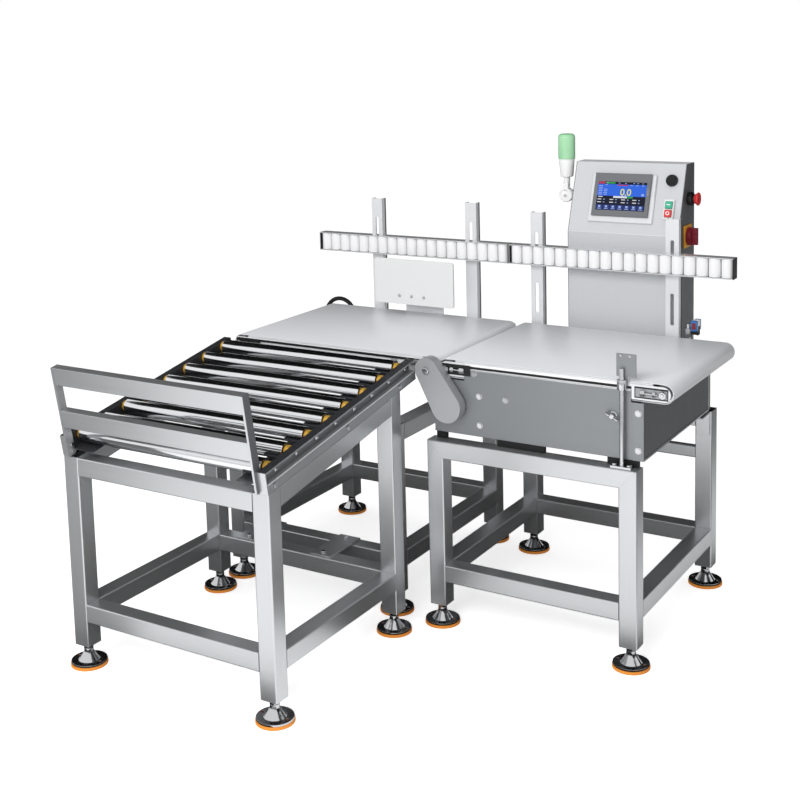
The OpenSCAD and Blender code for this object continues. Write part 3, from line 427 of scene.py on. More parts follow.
def broad(face):
    """Whether a face is a flat side, and not a strip of a rounded edge or of a cylinder"""
    turns = [math.degrees(edge.calc_face_angle(0)) for edge in face.edges if len(edge.link_faces) == 2]
    wide = 2 * face.calc_area() / sum(edge.calc_length() for edge in face.edges)
    return not any(0.5 < turn < 12 for turn in turns) and (wide > 5 * MM or min(turns, default=90) < 0.5)


def mesh_of(bm, name):
    """The finished bmesh as a mesh"""
    mesh = bpy.data.meshes.new(name)
    bm.to_mesh(mesh)
    bm.free()
    return mesh


def link(name, data):
    """A new object at the origin of the scene"""
    made = bpy.data.objects.new(name, data)
    bpy.context.scene.collection.objects.link(made)
    return made


def piece(bm, name, paint, slot, body="frame", nodes=()):
    """Turns a bmesh into a finished piece that rides on a body; paint is one material name or several"""
    bm.normal_update()
    rounded = [not broad(face) for face in bm.faces]
    mesh = mesh_of(bm, name)
    for each in [paint] if isinstance(paint, str) else paint:
        mesh.materials.append(material(each))
    # set_sharp_from_angle makes every face smooth, so the flat ones are set after it
    mesh.set_sharp_from_angle(angle=math.radians(35))
    mesh.polygons.foreach_set("use_smooth", rounded)
    made = link(name, mesh)
    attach(made, body)
    if nodes:
        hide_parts(*nodes)


def stand_in(bm, name, paint, node):
    """A piece that is shown in place of a node"""
    piece(bm, name, paint, SLOT_OF[node], BODY_OF[node], [node])


def rounded_copy(node, *rounding):
    """A node's own shape with rounded edges; rounding is what round_edges takes after the solid"""
    bm = cad_copy(node)
    for group in islands(bm):
        round_edges(bm, group, *rounding)
    return bm


def softened(node, paint, *rounding):
    """A node's own shape with rounded edges, in place of the node"""
    stand_in(rounded_copy(node, *rounding), node + "_soft", paint, node)


def tubes(node):
    """A stand with rounded tube corners and its grain along each tube"""
    bm = cad_copy(node)
    for group in islands(bm):
        spans = [span(group, axis) for axis in range(3)]
        mark(group, spans.index(max(spans)))
        round_edges(bm, group, sizes().tube_radius, 3, 0.1, 60)
    stand_in(bm, node + "_tubes", ["satin_steel_x", "satin_steel_y", "satin_steel_z"], node)


def table_frame():
    """Matrix of the sloped roller table, with Y up the slope"""
    first, last = (Vector(JOINTS[node + "_spin"]["pos_m"]) for node in (ROLLERS[0], ROLLERS[-1]))
    slope = math.atan2(last.z - first.z, last.y - first.y)
    turn = Matrix.Rotation(slope, 4, "X")
    return Matrix.Translation(first - turn @ Vector((first.x, *FIRST_AXLE))) @ turn


def panel_frame():
    """Matrix of the cabinet's slanted face, from its left end: X right, Z up the face, Y into it"""
    axis = Vector(JOINTS["start_press"]["axis"])
    lean = math.atan2(-axis.z, axis.y)
    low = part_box("cabinet")[0]
    return Matrix.Translation((low.x, low.y, FACE_FOLD)) @ Matrix.Rotation(-lean, 4, "X")


class PieceOperator:
    """Shared settings and run of the operators, each of which makes its pieces in make"""

    bl_options = {"REGISTER", "UNDO"}

    def execute(self, context):
        self.make(context)
        return {"FINISHED"}


class CHECKWEIGHER_OT_stage(PieceOperator, bpy.types.Operator):
    """Floor, light and camera"""

    bl_idname = "checkweigher.stage"
    bl_label = "Stage"

    def make(self, context):
        stage = context.scene.checkweigher_stage
        context.scene.view_settings.view_transform = "Standard"
        self.camera(context, stage)
        self.room(context, stage)
        self.floor()
        self.softbox("key_softbox", stage.key, at(200, -2900, 2350), at(0, 100, 600), 2.6, 1.5)
        self.softbox("top_softbox", stage.fill, at(200, 200, 3000), at(100, 100, 700), 2.4, 2.4)
        for name, low, high in (
            ("ceiling_flag", at(-6000, -1400, 3200), at(5000, 4000, 3220)),
            ("back_flag", at(-6000, 3600, 450), at(5000, 3620, 3200)),
            ("floor_flag", at(-1500, -190, 1), at(700, 2500, 2)),
            ("side_flag", at(1020, -190, 1), at(4500, 3600, 2)),
            ("table_flag", at(-1000, -860, 1), at(-40, -150, 2)),
        ):
            self.flag(name, low, high)
        aside = Matrix.Translation(at(-650, -860, 0)) @ Matrix.Rotation(math.radians(-43), 4, "Z")
        self.flag("front_flag", mm(-5000, -8000, 1), mm(0, 300, 2), aside, "#7c7c7c")

    def camera(self, context, stage):
        """Camera as it was solved from points of the photograph"""
        yaw, pitch, roll = (math.radians(a) for a in (32.54, 7.74, -1.67))
        ahead = Vector((-math.sin(yaw) * math.cos(pitch), math.cos(yaw) * math.cos(pitch), -math.sin(pitch)))
        right = Vector((math.cos(yaw), math.sin(yaw), 0))
        up = right.cross(ahead)
        side = right * math.cos(roll) + up * math.sin(roll)
        top = up * math.cos(roll) - right * math.sin(roll)
        data = bpy.data.cameras.new("photo_camera")
        data.sensor_width = SENSOR
        data.lens = stage.focal
        data.shift_x, data.shift_y = stage.shift
        data.clip_end = 100
        camera = link("photo_camera", data)
        turn = Matrix((side, top, -ahead)).transposed().to_4x4()
        camera.matrix_world = Matrix.Translation(at(1791, -3100, 1663)) @ turn
        context.scene.camera = camera

    def room(self, context, stage):
        """Even white room, which the camera and the metal see at full white"""
        world = bpy.data.worlds.new("white_studio")
        context.scene.world = world
        world.use_nodes = True
        tree = world.node_tree
        tree.nodes.clear()
        path = add(tree, "ShaderNodeLightPath").outputs
        seen = add(tree, "ShaderNodeMath", {0: path["Is Camera Ray"], 1: path["Is Transmission Ray"]},
                   operation="MAXIMUM").outputs[0]
        either = {0: seen, 1: path["Is Glossy Ray"]}
        seen = add(tree, "ShaderNodeMath", either, operation="MAXIMUM").outputs[0]
        even = add(tree, "ShaderNodeBackground", {"Color": (1, 1, 1, 1), "Strength": stage.sky}).outputs[0]
        white = add(tree, "ShaderNodeBackground", {"Color": (1, 1, 1, 1), "Strength": 1.0}).outputs[0]
        mixed = add(tree, "ShaderNodeMixShader", {0: seen, 1: even, 2: white}).outputs[0]
        add(tree, "ShaderNodeOutputWorld", {"Surface": mixed})

    def floor(self):
        """Pale floor with a glow of its own that only the camera and reflections see"""
        bm = bmesh.new()
        bmesh.ops.create_grid(bm, x_segments=1, y_segments=1, size=12)
        mesh = mesh_of(bm, "floor")
        made, tree, principled = shader("pale_floor", "#f6f6f6", Roughness=0.9)
        path = add(tree, "ShaderNodeLightPath").outputs
        shown, mirrored = 0.6, 0.25
        glossy = {0: path["Is Glossy Ray"], 1: mirrored}
        lift = add(tree, "ShaderNodeMath", glossy, operation="MULTIPLY").outputs[0]
        lift = add(tree, "ShaderNodeMath", {0: path["Is Camera Ray"], 1: shown, 2: lift},
                   operation="MULTIPLY_ADD").outputs[0]
        glow = add(tree, "ShaderNodeEmission", {"Color": (1, 1, 1, 1), "Strength": lift}).outputs[0]
        mixed = add(tree, "ShaderNodeAddShader", {0: principled.outputs[0], 1: glow})
        tree.links.new(mixed.outputs[0], tree.nodes["Material Output"].inputs["Surface"])
        mesh.materials.append(made)
        link("floor", mesh)

    def flag(self, name, low, high, turn=None, tone="#060606"):
        """A black or grey board that only reflections see, as studios hang over chrome"""
        bm = bmesh.new()
        block(bm, low, high, turn=turn)
        mesh = mesh_of(bm, name)
        mesh.materials.append(shader("flag_cloth_" + name, tone, Roughness=1.0)[0])
        board = link(name, mesh)
        for ray in ("camera", "diffuse", "transmission", "shadow"):
            setattr(board, "visible_" + ray, False)

    def softbox(self, name, power, place, aim, width, height):
        """Area light that reflections don't see"""
        data = bpy.data.lights.new(name, "AREA")
        data.shape = "RECTANGLE"
        data.size, data.size_y = width, height
        data.energy = power
        lamp = link(name, data)
        lamp.visible_glossy = False
        aimed = (aim - place).to_track_quat("-Z", "Y").to_matrix().to_4x4()
        lamp.matrix_world = Matrix.Translation(place) @ aimed


class CHECKWEIGHER_OT_stands(PieceOperator, bpy.types.Operator):
    """Three tube stands with their brackets and caps"""

    bl_idname = "checkweigher.stands"
    bl_label = "Stands"

    def make(self, context):
        for node in ("roller_stand", "reject_stand", "weigh_stand"):
            tubes(node)
        softened("flat_brackets", "satin_steel_z", sizes().fine_radius)
        softened("leg_plugs", "black_plastic", sizes().fine_radius)


class CHECKWEIGHER_OT_feet(PieceOperator, bpy.types.Operator):
    """Levelling feet on orange pads"""

    bl_idname = "checkweigher.feet"
    bl_label = "Feet"

    def make(self, context):
        softened("foot_pads", "pad_rubber", 1.6 * MM, 3)
        softened("foot_bases", "polished_steel", 0.9 * MM)


class CHECKWEIGHER_OT_roller_table(PieceOperator, bpy.types.Operator):
    """Side channels, chrome rollers with their caps, and the stop fence"""

    bl_idname = "checkweigher.roller_table"
    bl_label = "Roller table"

    def make(self, context):
        self.turn = table_frame()
        low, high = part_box("roller_1")
        self.inner = (low.x - 13 * MM, high.x + 13 * MM)
        self.channels()
        self.fence()
        softened("roller_bearings", "gold_cap", 1.2 * MM)
        self.nuts()
        for node in ROLLERS:
            self.roller(node)

    def channels(self):
        """Top flanges painted dark as painted shade over mill-finish webs, with bright end plates and cross
        strips; dark plates under the roller ends as painted shade, and pale strips along the webs as painted
        highlights
        """
        bm = cad_copy("roller_channels")
        back = self.turn.inverted()
        left, right = self.inner
        paints = ["dark_channel", "channel_steel", "satin_steel_z", "aluminium"]
        web, end, bright = 1, 2, 3
        for group in islands(bm):
            if span(group, 0) > 0.4:
                bmesh.ops.translate(bm, verts=group, vec=self.turn.to_3x3() @ mm(0, -3, -9))
            round_edges(bm, group, sizes().fine_radius)
        # Faces that match nothing keep the charcoal: painted shade on the top flanges and upper outer faces.
        for face in bm.faces:
            spot = back @ face.calc_center_median()
            within = left < spot.x < right
            outer = not left - 6 * MM < spot.x < right + 6 * MM
            if within and spot.y > 690 * MM:
                face.material_index = bright
            elif spot.y < 3.2 * MM:
                face.material_index = end
            elif within or (outer and spot.z < 52 * MM):
                face.material_index = web
        # Painted shade: dark plates just under the roller ends, next to each channel, darken the gaps between the
        # rollers.
        for x in (left + 0.5 * MM, right - 75.5 * MM):
            block(bm, (x, 10 * MM, 18 * MM), (x + 75 * MM, 704 * MM, 20.5 * MM), turn=self.turn)
        # Painted highlight: thin pale strips along each web's outer face stand in for the bright ledge line.
        for x in (left - 25.5 * MM, right + 24.4 * MM):
            before = set(bm.faces)
            block(bm, (x, 4 * MM, 24 * MM), (x + 1.1 * MM, 712 * MM, 26.8 * MM), turn=self.turn)
            mark_new(bm, before, bright)
        stand_in(bm, "table_channels", paints, "roller_channels")

    def fence(self):
        """Tube rails on flat uprights; the sides facing +X are painted darker as painted shade, the right
        upright's darkest since it turns its side away from the light
        """
        bm = rounded_copy("stop_fence", sizes().sheet_radius, 3)
        middle = sum(self.inner) / 2
        for face in bm.faces:
            # Painted shade: +X faces get a darker grey, darkest on the right upright.
            if face.normal.x > 0.9:
                face.material_index = 1 if face.calc_center_median().x < middle else 2
        stand_in(bm, "fence_tubes", ["satin_steel_x", "cover_steel", "shade_steel"], "stop_fence")

    def nuts(self):
        """Lock nuts on the axle ends, in the recess of each channel, and two on the upper cross strip"""
        bm = bmesh.new()
        for node in ROLLERS:
            axle = JOINTS[node + "_spin"]["pos_m"][1:]
            for x, way in ((self.inner[0] - 7 * MM, -1), (self.inner[1] + 7 * MM, 1)):
                place = facing(Vector((x, *axle)), (way, 0, 0))
                lathe(bm, [(4.5, 0), (4.5, 14), (3.6, 15), (0, 15)], place, 18)
                hexagon(bm, 12, 5, place @ Matrix.Translation(mm(0, 0, 8)))
        for x in (38, 76):
            spot = self.turn @ Vector((self.inner[1] - x * MM, 706.5 * MM, 45 * MM))
            hexagon(bm, 10, 4, facing(spot, self.turn.to_3x3() @ Vector((0, 0, 1))))
        piece(bm, "axle_nuts", "polished_steel", "bright_steel")

    def roller(self, node):
        """Chromed tube with rolled-in rims, open at the hub"""
        low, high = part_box(node)
        axle = JOINTS[node + "_spin"]["pos_m"][1:]
        half, r = (high.x - low.x) / 2 / MM, (high.z - low.z) / 2 / MM
        rim, hub = r - 1.5, 6.4
        end = [(hub, half - 3), (rim - 3, half - 3), (rim, half - 0.6), (rim + 0.8, half), (r, half - 1.2)]
        profile = [(radius, -height) for radius, height in end] + end[::-1]
        bm = bmesh.new()
        lathe(bm, profile + profile[:1], facing(Vector(((low.x + high.x) / 2, *axle)), (1, 0, 0)), 56)
        stand_in(bm, "gravity_" + node, "roller_chrome", node)


class CHECKWEIGHER_OT_conveyors(PieceOperator, bpy.types.Operator):
    """Belts, slider beds and end rollers"""

    bl_idname = "checkweigher.conveyors"
    bl_label = "Conveyors"

    def make(self, context):
        for node in ("weigh_belt", "reject_belt"):
            softened(node, "belt_white", 0.5 * MM)
        for node in ("weigh_bed", "reject_bed"):
            softened(node, "aluminium", 0.5 * MM)
        for node in ("drum_motor", "weigh_idler", "reject_idler", "reject_drive_roller", "motor_pulley"):
            softened(node, "polished_steel", 0.8 * MM)
        softened("timing_belt", "black_rubber", 0.4 * MM)
        self.tension_ends()
        self.edge_strips()

    def edge_strips(self):
        """White wear strips, black strips that paint the shadow in the gap under the belt edges, and a bright lip
        along the front of both beds
        """
        low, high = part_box("reject_bed")
        weigh = at(106, 32, 0), at(592, 33.2, 0), 0.4 * MM
        reject = low + mm(10, -0.8, 0), Vector((high.x, low.y, 0)) + mm(-60, 0.4, 0), 0.3 * MM
        white, black, bright = ("roller_white", "white_plastic"), ("black_rubber",) * 2, ("aluminium",) * 2
        # The black strips are painted shadow in the gap under each belt edge.
        for name, (start, end, radius), bottom, top, finish in (
            ("wear_strip", weigh, 757.5, 764, white), ("weigh_shadow_strip", weigh, 751, 757, black),
            ("bed_lip", weigh, 747, 750.5, bright), ("reject_shadow_strip", reject, 756, 763, black),
            ("reject_lip", reject, 763.2, 765.4, white),
        ):
            bm = bmesh.new()
            block(bm, (*start.xy, bottom * MM), (*end.xy, top * MM), radius)
            piece(bm, name, *finish)

    def tension_ends(self):
        """Black blocks in the slots as painted shade, slide plates, tension screws and axle nuts on the end plates
        """
        slots, plates, screws = bmesh.new(), bmesh.new(), bmesh.new()
        low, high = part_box("weigh_bed")
        for joint, way, reach in (("weigh_idler_spin", 1, 18), ("drum_motor_spin", -1, 18),
                                  ("reject_idler_spin", 1, 18), ("reject_drive_spin", -1, 11)):
            axle = Vector(JOINTS[joint]["pos_m"])
            for y, out in ((low.y, -1), (high.y, 1)):
                place = Vector((axle.x, y, axle.z))
                # Painted shade: a black block fills each slot.
                start, end = (-14 * way, -out, -0.84 * reach), (76 * way, 0.5 * out, 0.84 * reach)
                self.strip(slots, place, start, end)
                if way < 0:
                    start, end = (-11.5 * way, -out, -0.64 * reach), (73 * way, 1.2 * out, 0.6 * reach)
                    self.strip(plates, place, start, end)
                self.tension_screw(screws, place + mm(0, out * 1.2, 0), way, out, reach)
        piece(slots, "tension_slot_shades", "black_plastic", "black_plastic")
        piece(plates, "slide_plates", "channel_steel", "bright_steel")
        piece(screws, "tension_screws", "polished_steel", "bright_steel")

    def strip(self, bm, place, start, end):
        """A block between two corners in millimetres from a place, given in any order"""
        low, high = zip(*(sorted(pair) for pair in zip(start, end)))
        block(bm, place + mm(*low), place + mm(*high), 0.4 * MM)

    def tension_screw(self, screws, face, way, out, reach):
        """Axle nut on the end plate, and the screw beside it that pulls the axle"""
        hexagon(screws, reach * 1.05, 7, facing(face, (0, out, 0)))
        lathe(screws, [(0, 9.5), (4.4, 9.5), (5, 8.9), (5, 0)], facing(face, (0, out, 0)), 20)
        rod = face + mm(way * 14, out * 3, 0)
        lathe(screws, [(0, 0), (3, 0), (3, 44), (0, 44)], facing(rod, (way, 0, 0)), 16)
        for step, wide, thick in ((4, 13, 9), (32, 15, 14)):
            hexagon(screws, wide, thick, facing(rod + mm(way * step, 0, 0), (way, 0, 0)))


class CHECKWEIGHER_OT_base_box(PieceOperator, bpy.types.Operator):
    """Base box of the weigh section with the belt guard and what is inside"""

    bl_idname = "checkweigher.base_box"
    bl_label = "Base box"

    def make(self, context):
        bm = cad_copy("base_box")
        for group in islands(bm):
            # The thin end panels are painted darker than the front, as painted shade on the sides.
            mark(group, 1 if span(group, 0) < 10 * MM else 0)
            round_edges(bm, group, 0.7 * MM, 2, 30 * MM)
        stand_in(bm, "base_box_sheets", ["plate_steel", "shade_steel"], "base_box")
        self.guard()
        self.trim()
        self.fasteners()
        softened("rubber_mounts", "black_rubber", 1.5 * MM)
        softened("load_cell", "polished_steel", sizes().fine_radius)
        softened("gear_motor", "dark_channel", sizes().sheet_radius)
        softened("hex_bolts", "polished_steel", 0.5 * MM)

    def guard(self):
        """Rounded cover with a chromed dome bolt"""
        bm = cad_copy("belt_guard")
        for group in islands(bm):
            small = span(group, 2) < 30 * MM
            mark(group, 1 if small else 0)
            round_edges(bm, group, 3 * MM if small else 1.2 * MM, 3)
        stand_in(bm, "guard_cover", ["cover_steel", "polished_steel"], "belt_guard")

    def trim(self):
        """Folded lips along the sheet edges, and the flange of the right end panel"""
        low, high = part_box("base_box")
        shelf = 716 * MM
        lips, flange = bmesh.new(), bmesh.new()
        block(lips, Vector((low.x, low.y, high.z)) + mm(96, -0.6, -2.5),
              Vector((high.x, low.y, high.z)) + mm(-35, 14, 0.4), 0.5 * MM)
        block(flange, Vector((high.x, low.y, low.z)) + mm(-30, -1.5, 0),
              Vector((high.x, low.y, shelf)) + mm(0.3, -0.2, 0), 0.5 * MM)
        piece(flange, "box_flange", "plate_steel", "stainless_sheet")
        inside, outside = 0.9 * MM, 0.8 * MM
        foot, fold = low.z - 0.2 * MM, low.z + 4 * MM
        block(lips, (high.x - inside, low.y, foot), (high.x + outside, high.y, fold), 0.5 * MM)
        block(lips, (high.x - inside, high.y - 16 * MM, low.z), (high.x + outside, high.y, shelf), 0.5 * MM)
        block(lips, (low.x - outside, low.y, foot), (low.x + inside, high.y, fold), 0.5 * MM)
        piece(lips, "box_lips", "satin_steel_x", "stainless_sheet")

    def fasteners(self):
        """Washers under the box bolts, two of them on the flange, and a wing knob"""
        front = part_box("base_box")[0].y
        bm = bmesh.new()
        for x, z, proud in ((137, 739, 0.1), (152, 677, 0.1), (233, 676, 0.1), (153, 595, 0.1),
                            (610, 689, 1.4), (610, 590, 1.4)):
            spot = at(x, 0, z)
            spot.y = front - proud * MM
            lathe(bm, [(4, 0), (9.5, 0), (9.5, 1.4), (9, 1.9), (4, 1.9)], facing(spot, (0, -1, 0)), 24)
        knob = at(542, 0, 675)
        knob.y = front - 0.1 * MM
        lathe(bm, [(11, 0), (11, 2), (8.5, 3), (8, 12), (6.5, 14), (0, 14.5)], facing(knob, (0, -1, 0)), 28)
        for tilt in (25, 205):
            turn = Matrix.Translation(knob) @ Matrix.Rotation(math.radians(tilt), 4, "Y")
            block(bm, mm(5, -19, -3), mm(20, -5, 3), 2.4 * MM, 3, turn)
        piece(bm, "box_washers", "polished_steel", "bright_steel")


class CHECKWEIGHER_OT_guides(PieceOperator, bpy.types.Operator):
    """Slotted posts, guide rails with small rollers, and the pusher"""

    bl_idname = "checkweigher.guides"
    bl_label = "Guides and pusher"

    def make(self, context):
        self.posts()
        for side in ("left", "right"):
            self.rail(side + "_rail")
            self.rollers(side + "_rail_rollers")
        softened("pusher_cylinder", "aluminium", sizes().sheet_radius)
        softened("pusher_rods", "polished_steel", sizes().fine_radius)
        self.plate()
        self.air_fittings()

    def rollers(self, node):
        """White rollers drawn a little wider, so that they stand close in the rail"""
        bm = cad_copy(node)
        for group in islands(bm):
            middle = sum((v.co for v in group), Vector()) / len(group)
            bmesh.ops.scale(bm, verts=group, vec=(1.12, 1, 1), space=Matrix.Translation(-middle))
            round_edges(bm, group, 1.6 * MM, 3)
        stand_in(bm, node + "_wide", "roller_white", node)

    def rail(self, node):
        """Bright folded rail; its web behind the rollers is painted white as painted light where shade falls
        between the rollers, and its ends are painted black as painted shade
        """
        bm = rounded_copy(node, sizes().fine_radius)
        low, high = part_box(node)
        for face in bm.faces:
            spot = face.calc_center_median()
            # Painted light: the web behind the rollers is white, which lifts the shade between the rollers.
            if face.normal.y < -0.9 and spot.y > low.y + 8 * MM and face.calc_area() > 0.004:
                face.material_index = 1
            # Painted shade: faces at the rail ends are black.
            elif min(abs(spot.x - low.x), abs(spot.x - high.x)) < 4 * MM:
                face.material_index = 2
        stand_in(bm, node + "_channel", ["rail_steel", "roller_white", "black_plastic"], node)

    def posts(self):
        """Slotted posts whose slots have round ends, with a black strip along the right side of each as painted
        shade
        """
        bm = cad_copy("guide_posts")
        ends = [e for e in bm.edges if not e.is_convex and e.calc_length() < 3 * MM
                and abs(e.verts[0].co.y - e.verts[1].co.y) > 2 * MM]
        bmesh.ops.bevel(bm, geom=ends, offset=4.45 * MM, offset_type="OFFSET", affect="EDGES", segments=6,
                        profile=0.5, material=-1)
        shade_strips = bmesh.new()
        for group in islands(bm):
            low, high = (Vector([pick(v.co[i] for v in group) for i in range(3)]) for pick in (min, max))
            if high.z - low.z > 0.2:
                # Painted shade: a thin black strip on the right side of each tall post.
                block(shade_strips, Vector((high.x, high.y, low.z)) + mm(-0.2, -7, 0), high + mm(0.4, -0.5, 0))
            round_edges(bm, group, sizes().fine_radius, 2, 20 * MM)
        stand_in(bm, "slotted_posts", "aluminium", "guide_posts")
        piece(shade_strips, "post_shade_strips", "black_plastic", "black_plastic")

    def plate(self):
        """White pusher plate with three countersunk screws"""
        bm = cad_copy("pusher_plate")
        for group in islands(bm):
            mark(group, 1 if span(group, 0) < 20 * MM else 0)
            round_edges(bm, group, sizes().fine_radius, 2, 0.0, 50)
        stand_in(bm, "push_plate", ["plate_white", "polished_steel"], "pusher_plate")

    def air_fittings(self):
        """Push-in fittings on top of the cylinder block"""
        low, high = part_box("pusher_cylinder")
        hexes, collars = bmesh.new(), bmesh.new()
        for y in (low.y + 60 * MM, high.y - 20 * MM):
            place = facing(Vector(((low.x + high.x) / 2 + 40 * MM, y, high.z)), (0, 0, 1))
            hexagon(hexes, 12, 7, place)
            lathe(collars, [(5.4, 7), (5.4, 12), (6.4, 13), (6.4, 16), (4, 16.4), (4, 9), (0, 9)], place, 24)
        piece(hexes, "fitting_bodies", "polished_steel", "bright_steel")
        piece(collars, "fitting_collars", "black_plastic", "black_plastic")


class CHECKWEIGHER_OT_cabinet(PieceOperator, bpy.types.Operator):
    """Control cabinet with its screen, keys and switches"""

    bl_idname = "checkweigher.cabinet"
    bl_label = "Cabinet"

    def make(self, context):
        self.shell()
        for node, paint, radius, segments in (
            ("cabinet_door", "cabinet_steel", 0.8, 2), ("touch_screen", "grey_plastic", 1.2, 2),
            ("button_plate", "white_plastic", 1.0, 2), ("start_button", "green_plastic", 2.5, 3),
            ("stop_button", "red_plastic", 2.5, 3), ("estop_base", "black_plastic", 0.8, 2),
            ("estop_stem", "black_plastic", 0.8, 2), ("switch_plate", "yellow_plastic", 1.0, 2),
            ("switch_knob", "maroon_plastic", 2.5, 3),
        ):
            softened(node, paint, radius * MM, segments)
        self.fold()
        self.buzzer()
        self.marks()
        self.mushroom()
        self.door_lock()

    def shell(self):
        """Brushed front and top, side sheets painted darker as painted shade, and the bright bevelled screen frame
        """
        bm = cad_copy("cabinet")
        for group in islands(bm):
            wide = span(group, 0)
            frame_trim = 190 * MM < wide < 220 * MM
            side_sheet = wide < 5 * MM and span(group, 2) > 0.3
            # Side sheets get the darker grey as painted shade.
            mark(group, 2 if frame_trim else 1 if side_sheet else 0)
            round_edges(bm, group, 5 * MM if frame_trim else 0.8 * MM, 1 if frame_trim else 2)
        stand_in(bm, "cabinet_shell", ["cabinet_steel", "shade_steel", "frame_silver"], "cabinet")

    def fold(self):
        """Pale strip as a painted highlight on the edge where the slanted face folds into the front"""
        low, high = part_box("cabinet")
        end = mm(-1, 0.3, 1.4) + Vector((high.x - low.x, 0, 0))
        bm = bmesh.new()
        # Painted highlight: a thin pale strip along the fold.
        block(bm, mm(1, -0.5, -1), end, 0.2 * MM, 2, panel_frame())
        piece(bm, "cabinet_fold_highlight", "frame_silver", "stainless_sheet")

    def buzzer(self):
        """Ringed sounder disc"""
        bm = bmesh.new()
        rings = [(18, 0.3), (18, 6), (17, 9), (15.2, 10.9), (14, 9.4), (11.5, 9.4), (11, 10.4), (8, 10.4),
                 (7.5, 9.5), (4.5, 9.5), (4, 10.4), (0, 10.4)]
        turn = panel_frame()
        lathe(bm, rings, facing(turn @ mm(311, 0, 168.2), turn.to_3x3() @ Vector((0, -1, 0))))
        stand_in(bm, "sounder_disc", "black_plastic", "buzzer")

    def marks(self):
        """Bar on the start key and ring on the stop key"""
        turn = panel_frame()
        out = turn.to_3x3() @ Vector((0, -1, 0))
        bar, ring = bmesh.new(), bmesh.new()
        middle = mm(313, -15, 79.27)
        block(bar, middle + mm(-5.5, -0.5, 11.6), middle + mm(5.5, 0.1, 14.4), 0.2 * MM, 2, turn)
        stop = facing(turn @ (middle + mm(0, 0, -13)), out)
        lathe(ring, [(3.6, -0.1), (3.6, 0.8), (5.8, 0.8), (5.8, -0.1)], stop)
        piece(bar, "start_mark", "mark_white", "white_plastic", "start_button")
        piece(ring, "stop_mark", "mark_white", "white_plastic", "stop_button")

    def mushroom(self):
        """Flared twist head of the emergency stop, with three raised bars"""
        bm = bmesh.new()
        middle = Vector(JOINTS["estop_twist"]["pos_m"])
        middle.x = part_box("estop_head")[0].x
        curve = [(12.3, 4), (12.3, 0.2), (14, 0.2), (15, 2), (17, 5.5), (19.6, 8), (20, 9.5), (19.4, 11.5),
                 (17.6, 12.8), (15, 12.9), (10, 12.2), (0, 11.8)]
        lathe(bm, curve, facing(middle, (1, 0, 0)))
        for k in range(3):
            turn = Matrix.Translation(middle) @ Matrix.Rotation(k * math.tau / 3, 4, "X")
            block(bm, mm(11.6, 5, -1.2), mm(12.9, 13, 1.2), 0.5 * MM, 2, turn)
        stand_in(bm, "twist_head", "red_plastic", "estop_head")

    def door_lock(self):
        """Two quarter-turn locks on the rear door"""
        low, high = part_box("cabinet_door")
        bm = bmesh.new()
        for share in (0.3, 0.7):
            spot = Vector((high.x - 28 * MM, high.y - 5 * MM, low.z + (high.z - low.z) * share))
            dish = [(12, 0), (12, 1.6), (11, 2.6), (5, 2.6), (4.4, 1), (0, 1)]
            lathe(bm, dish, facing(spot, (0, 1, 0)), 28)
            block(bm, spot + mm(-3.6, 0.5, -1), spot + mm(3.6, 2.4, 1), 0.3 * MM)
        piece(bm, "door_locks", "polished_steel", "bright_steel", "door")


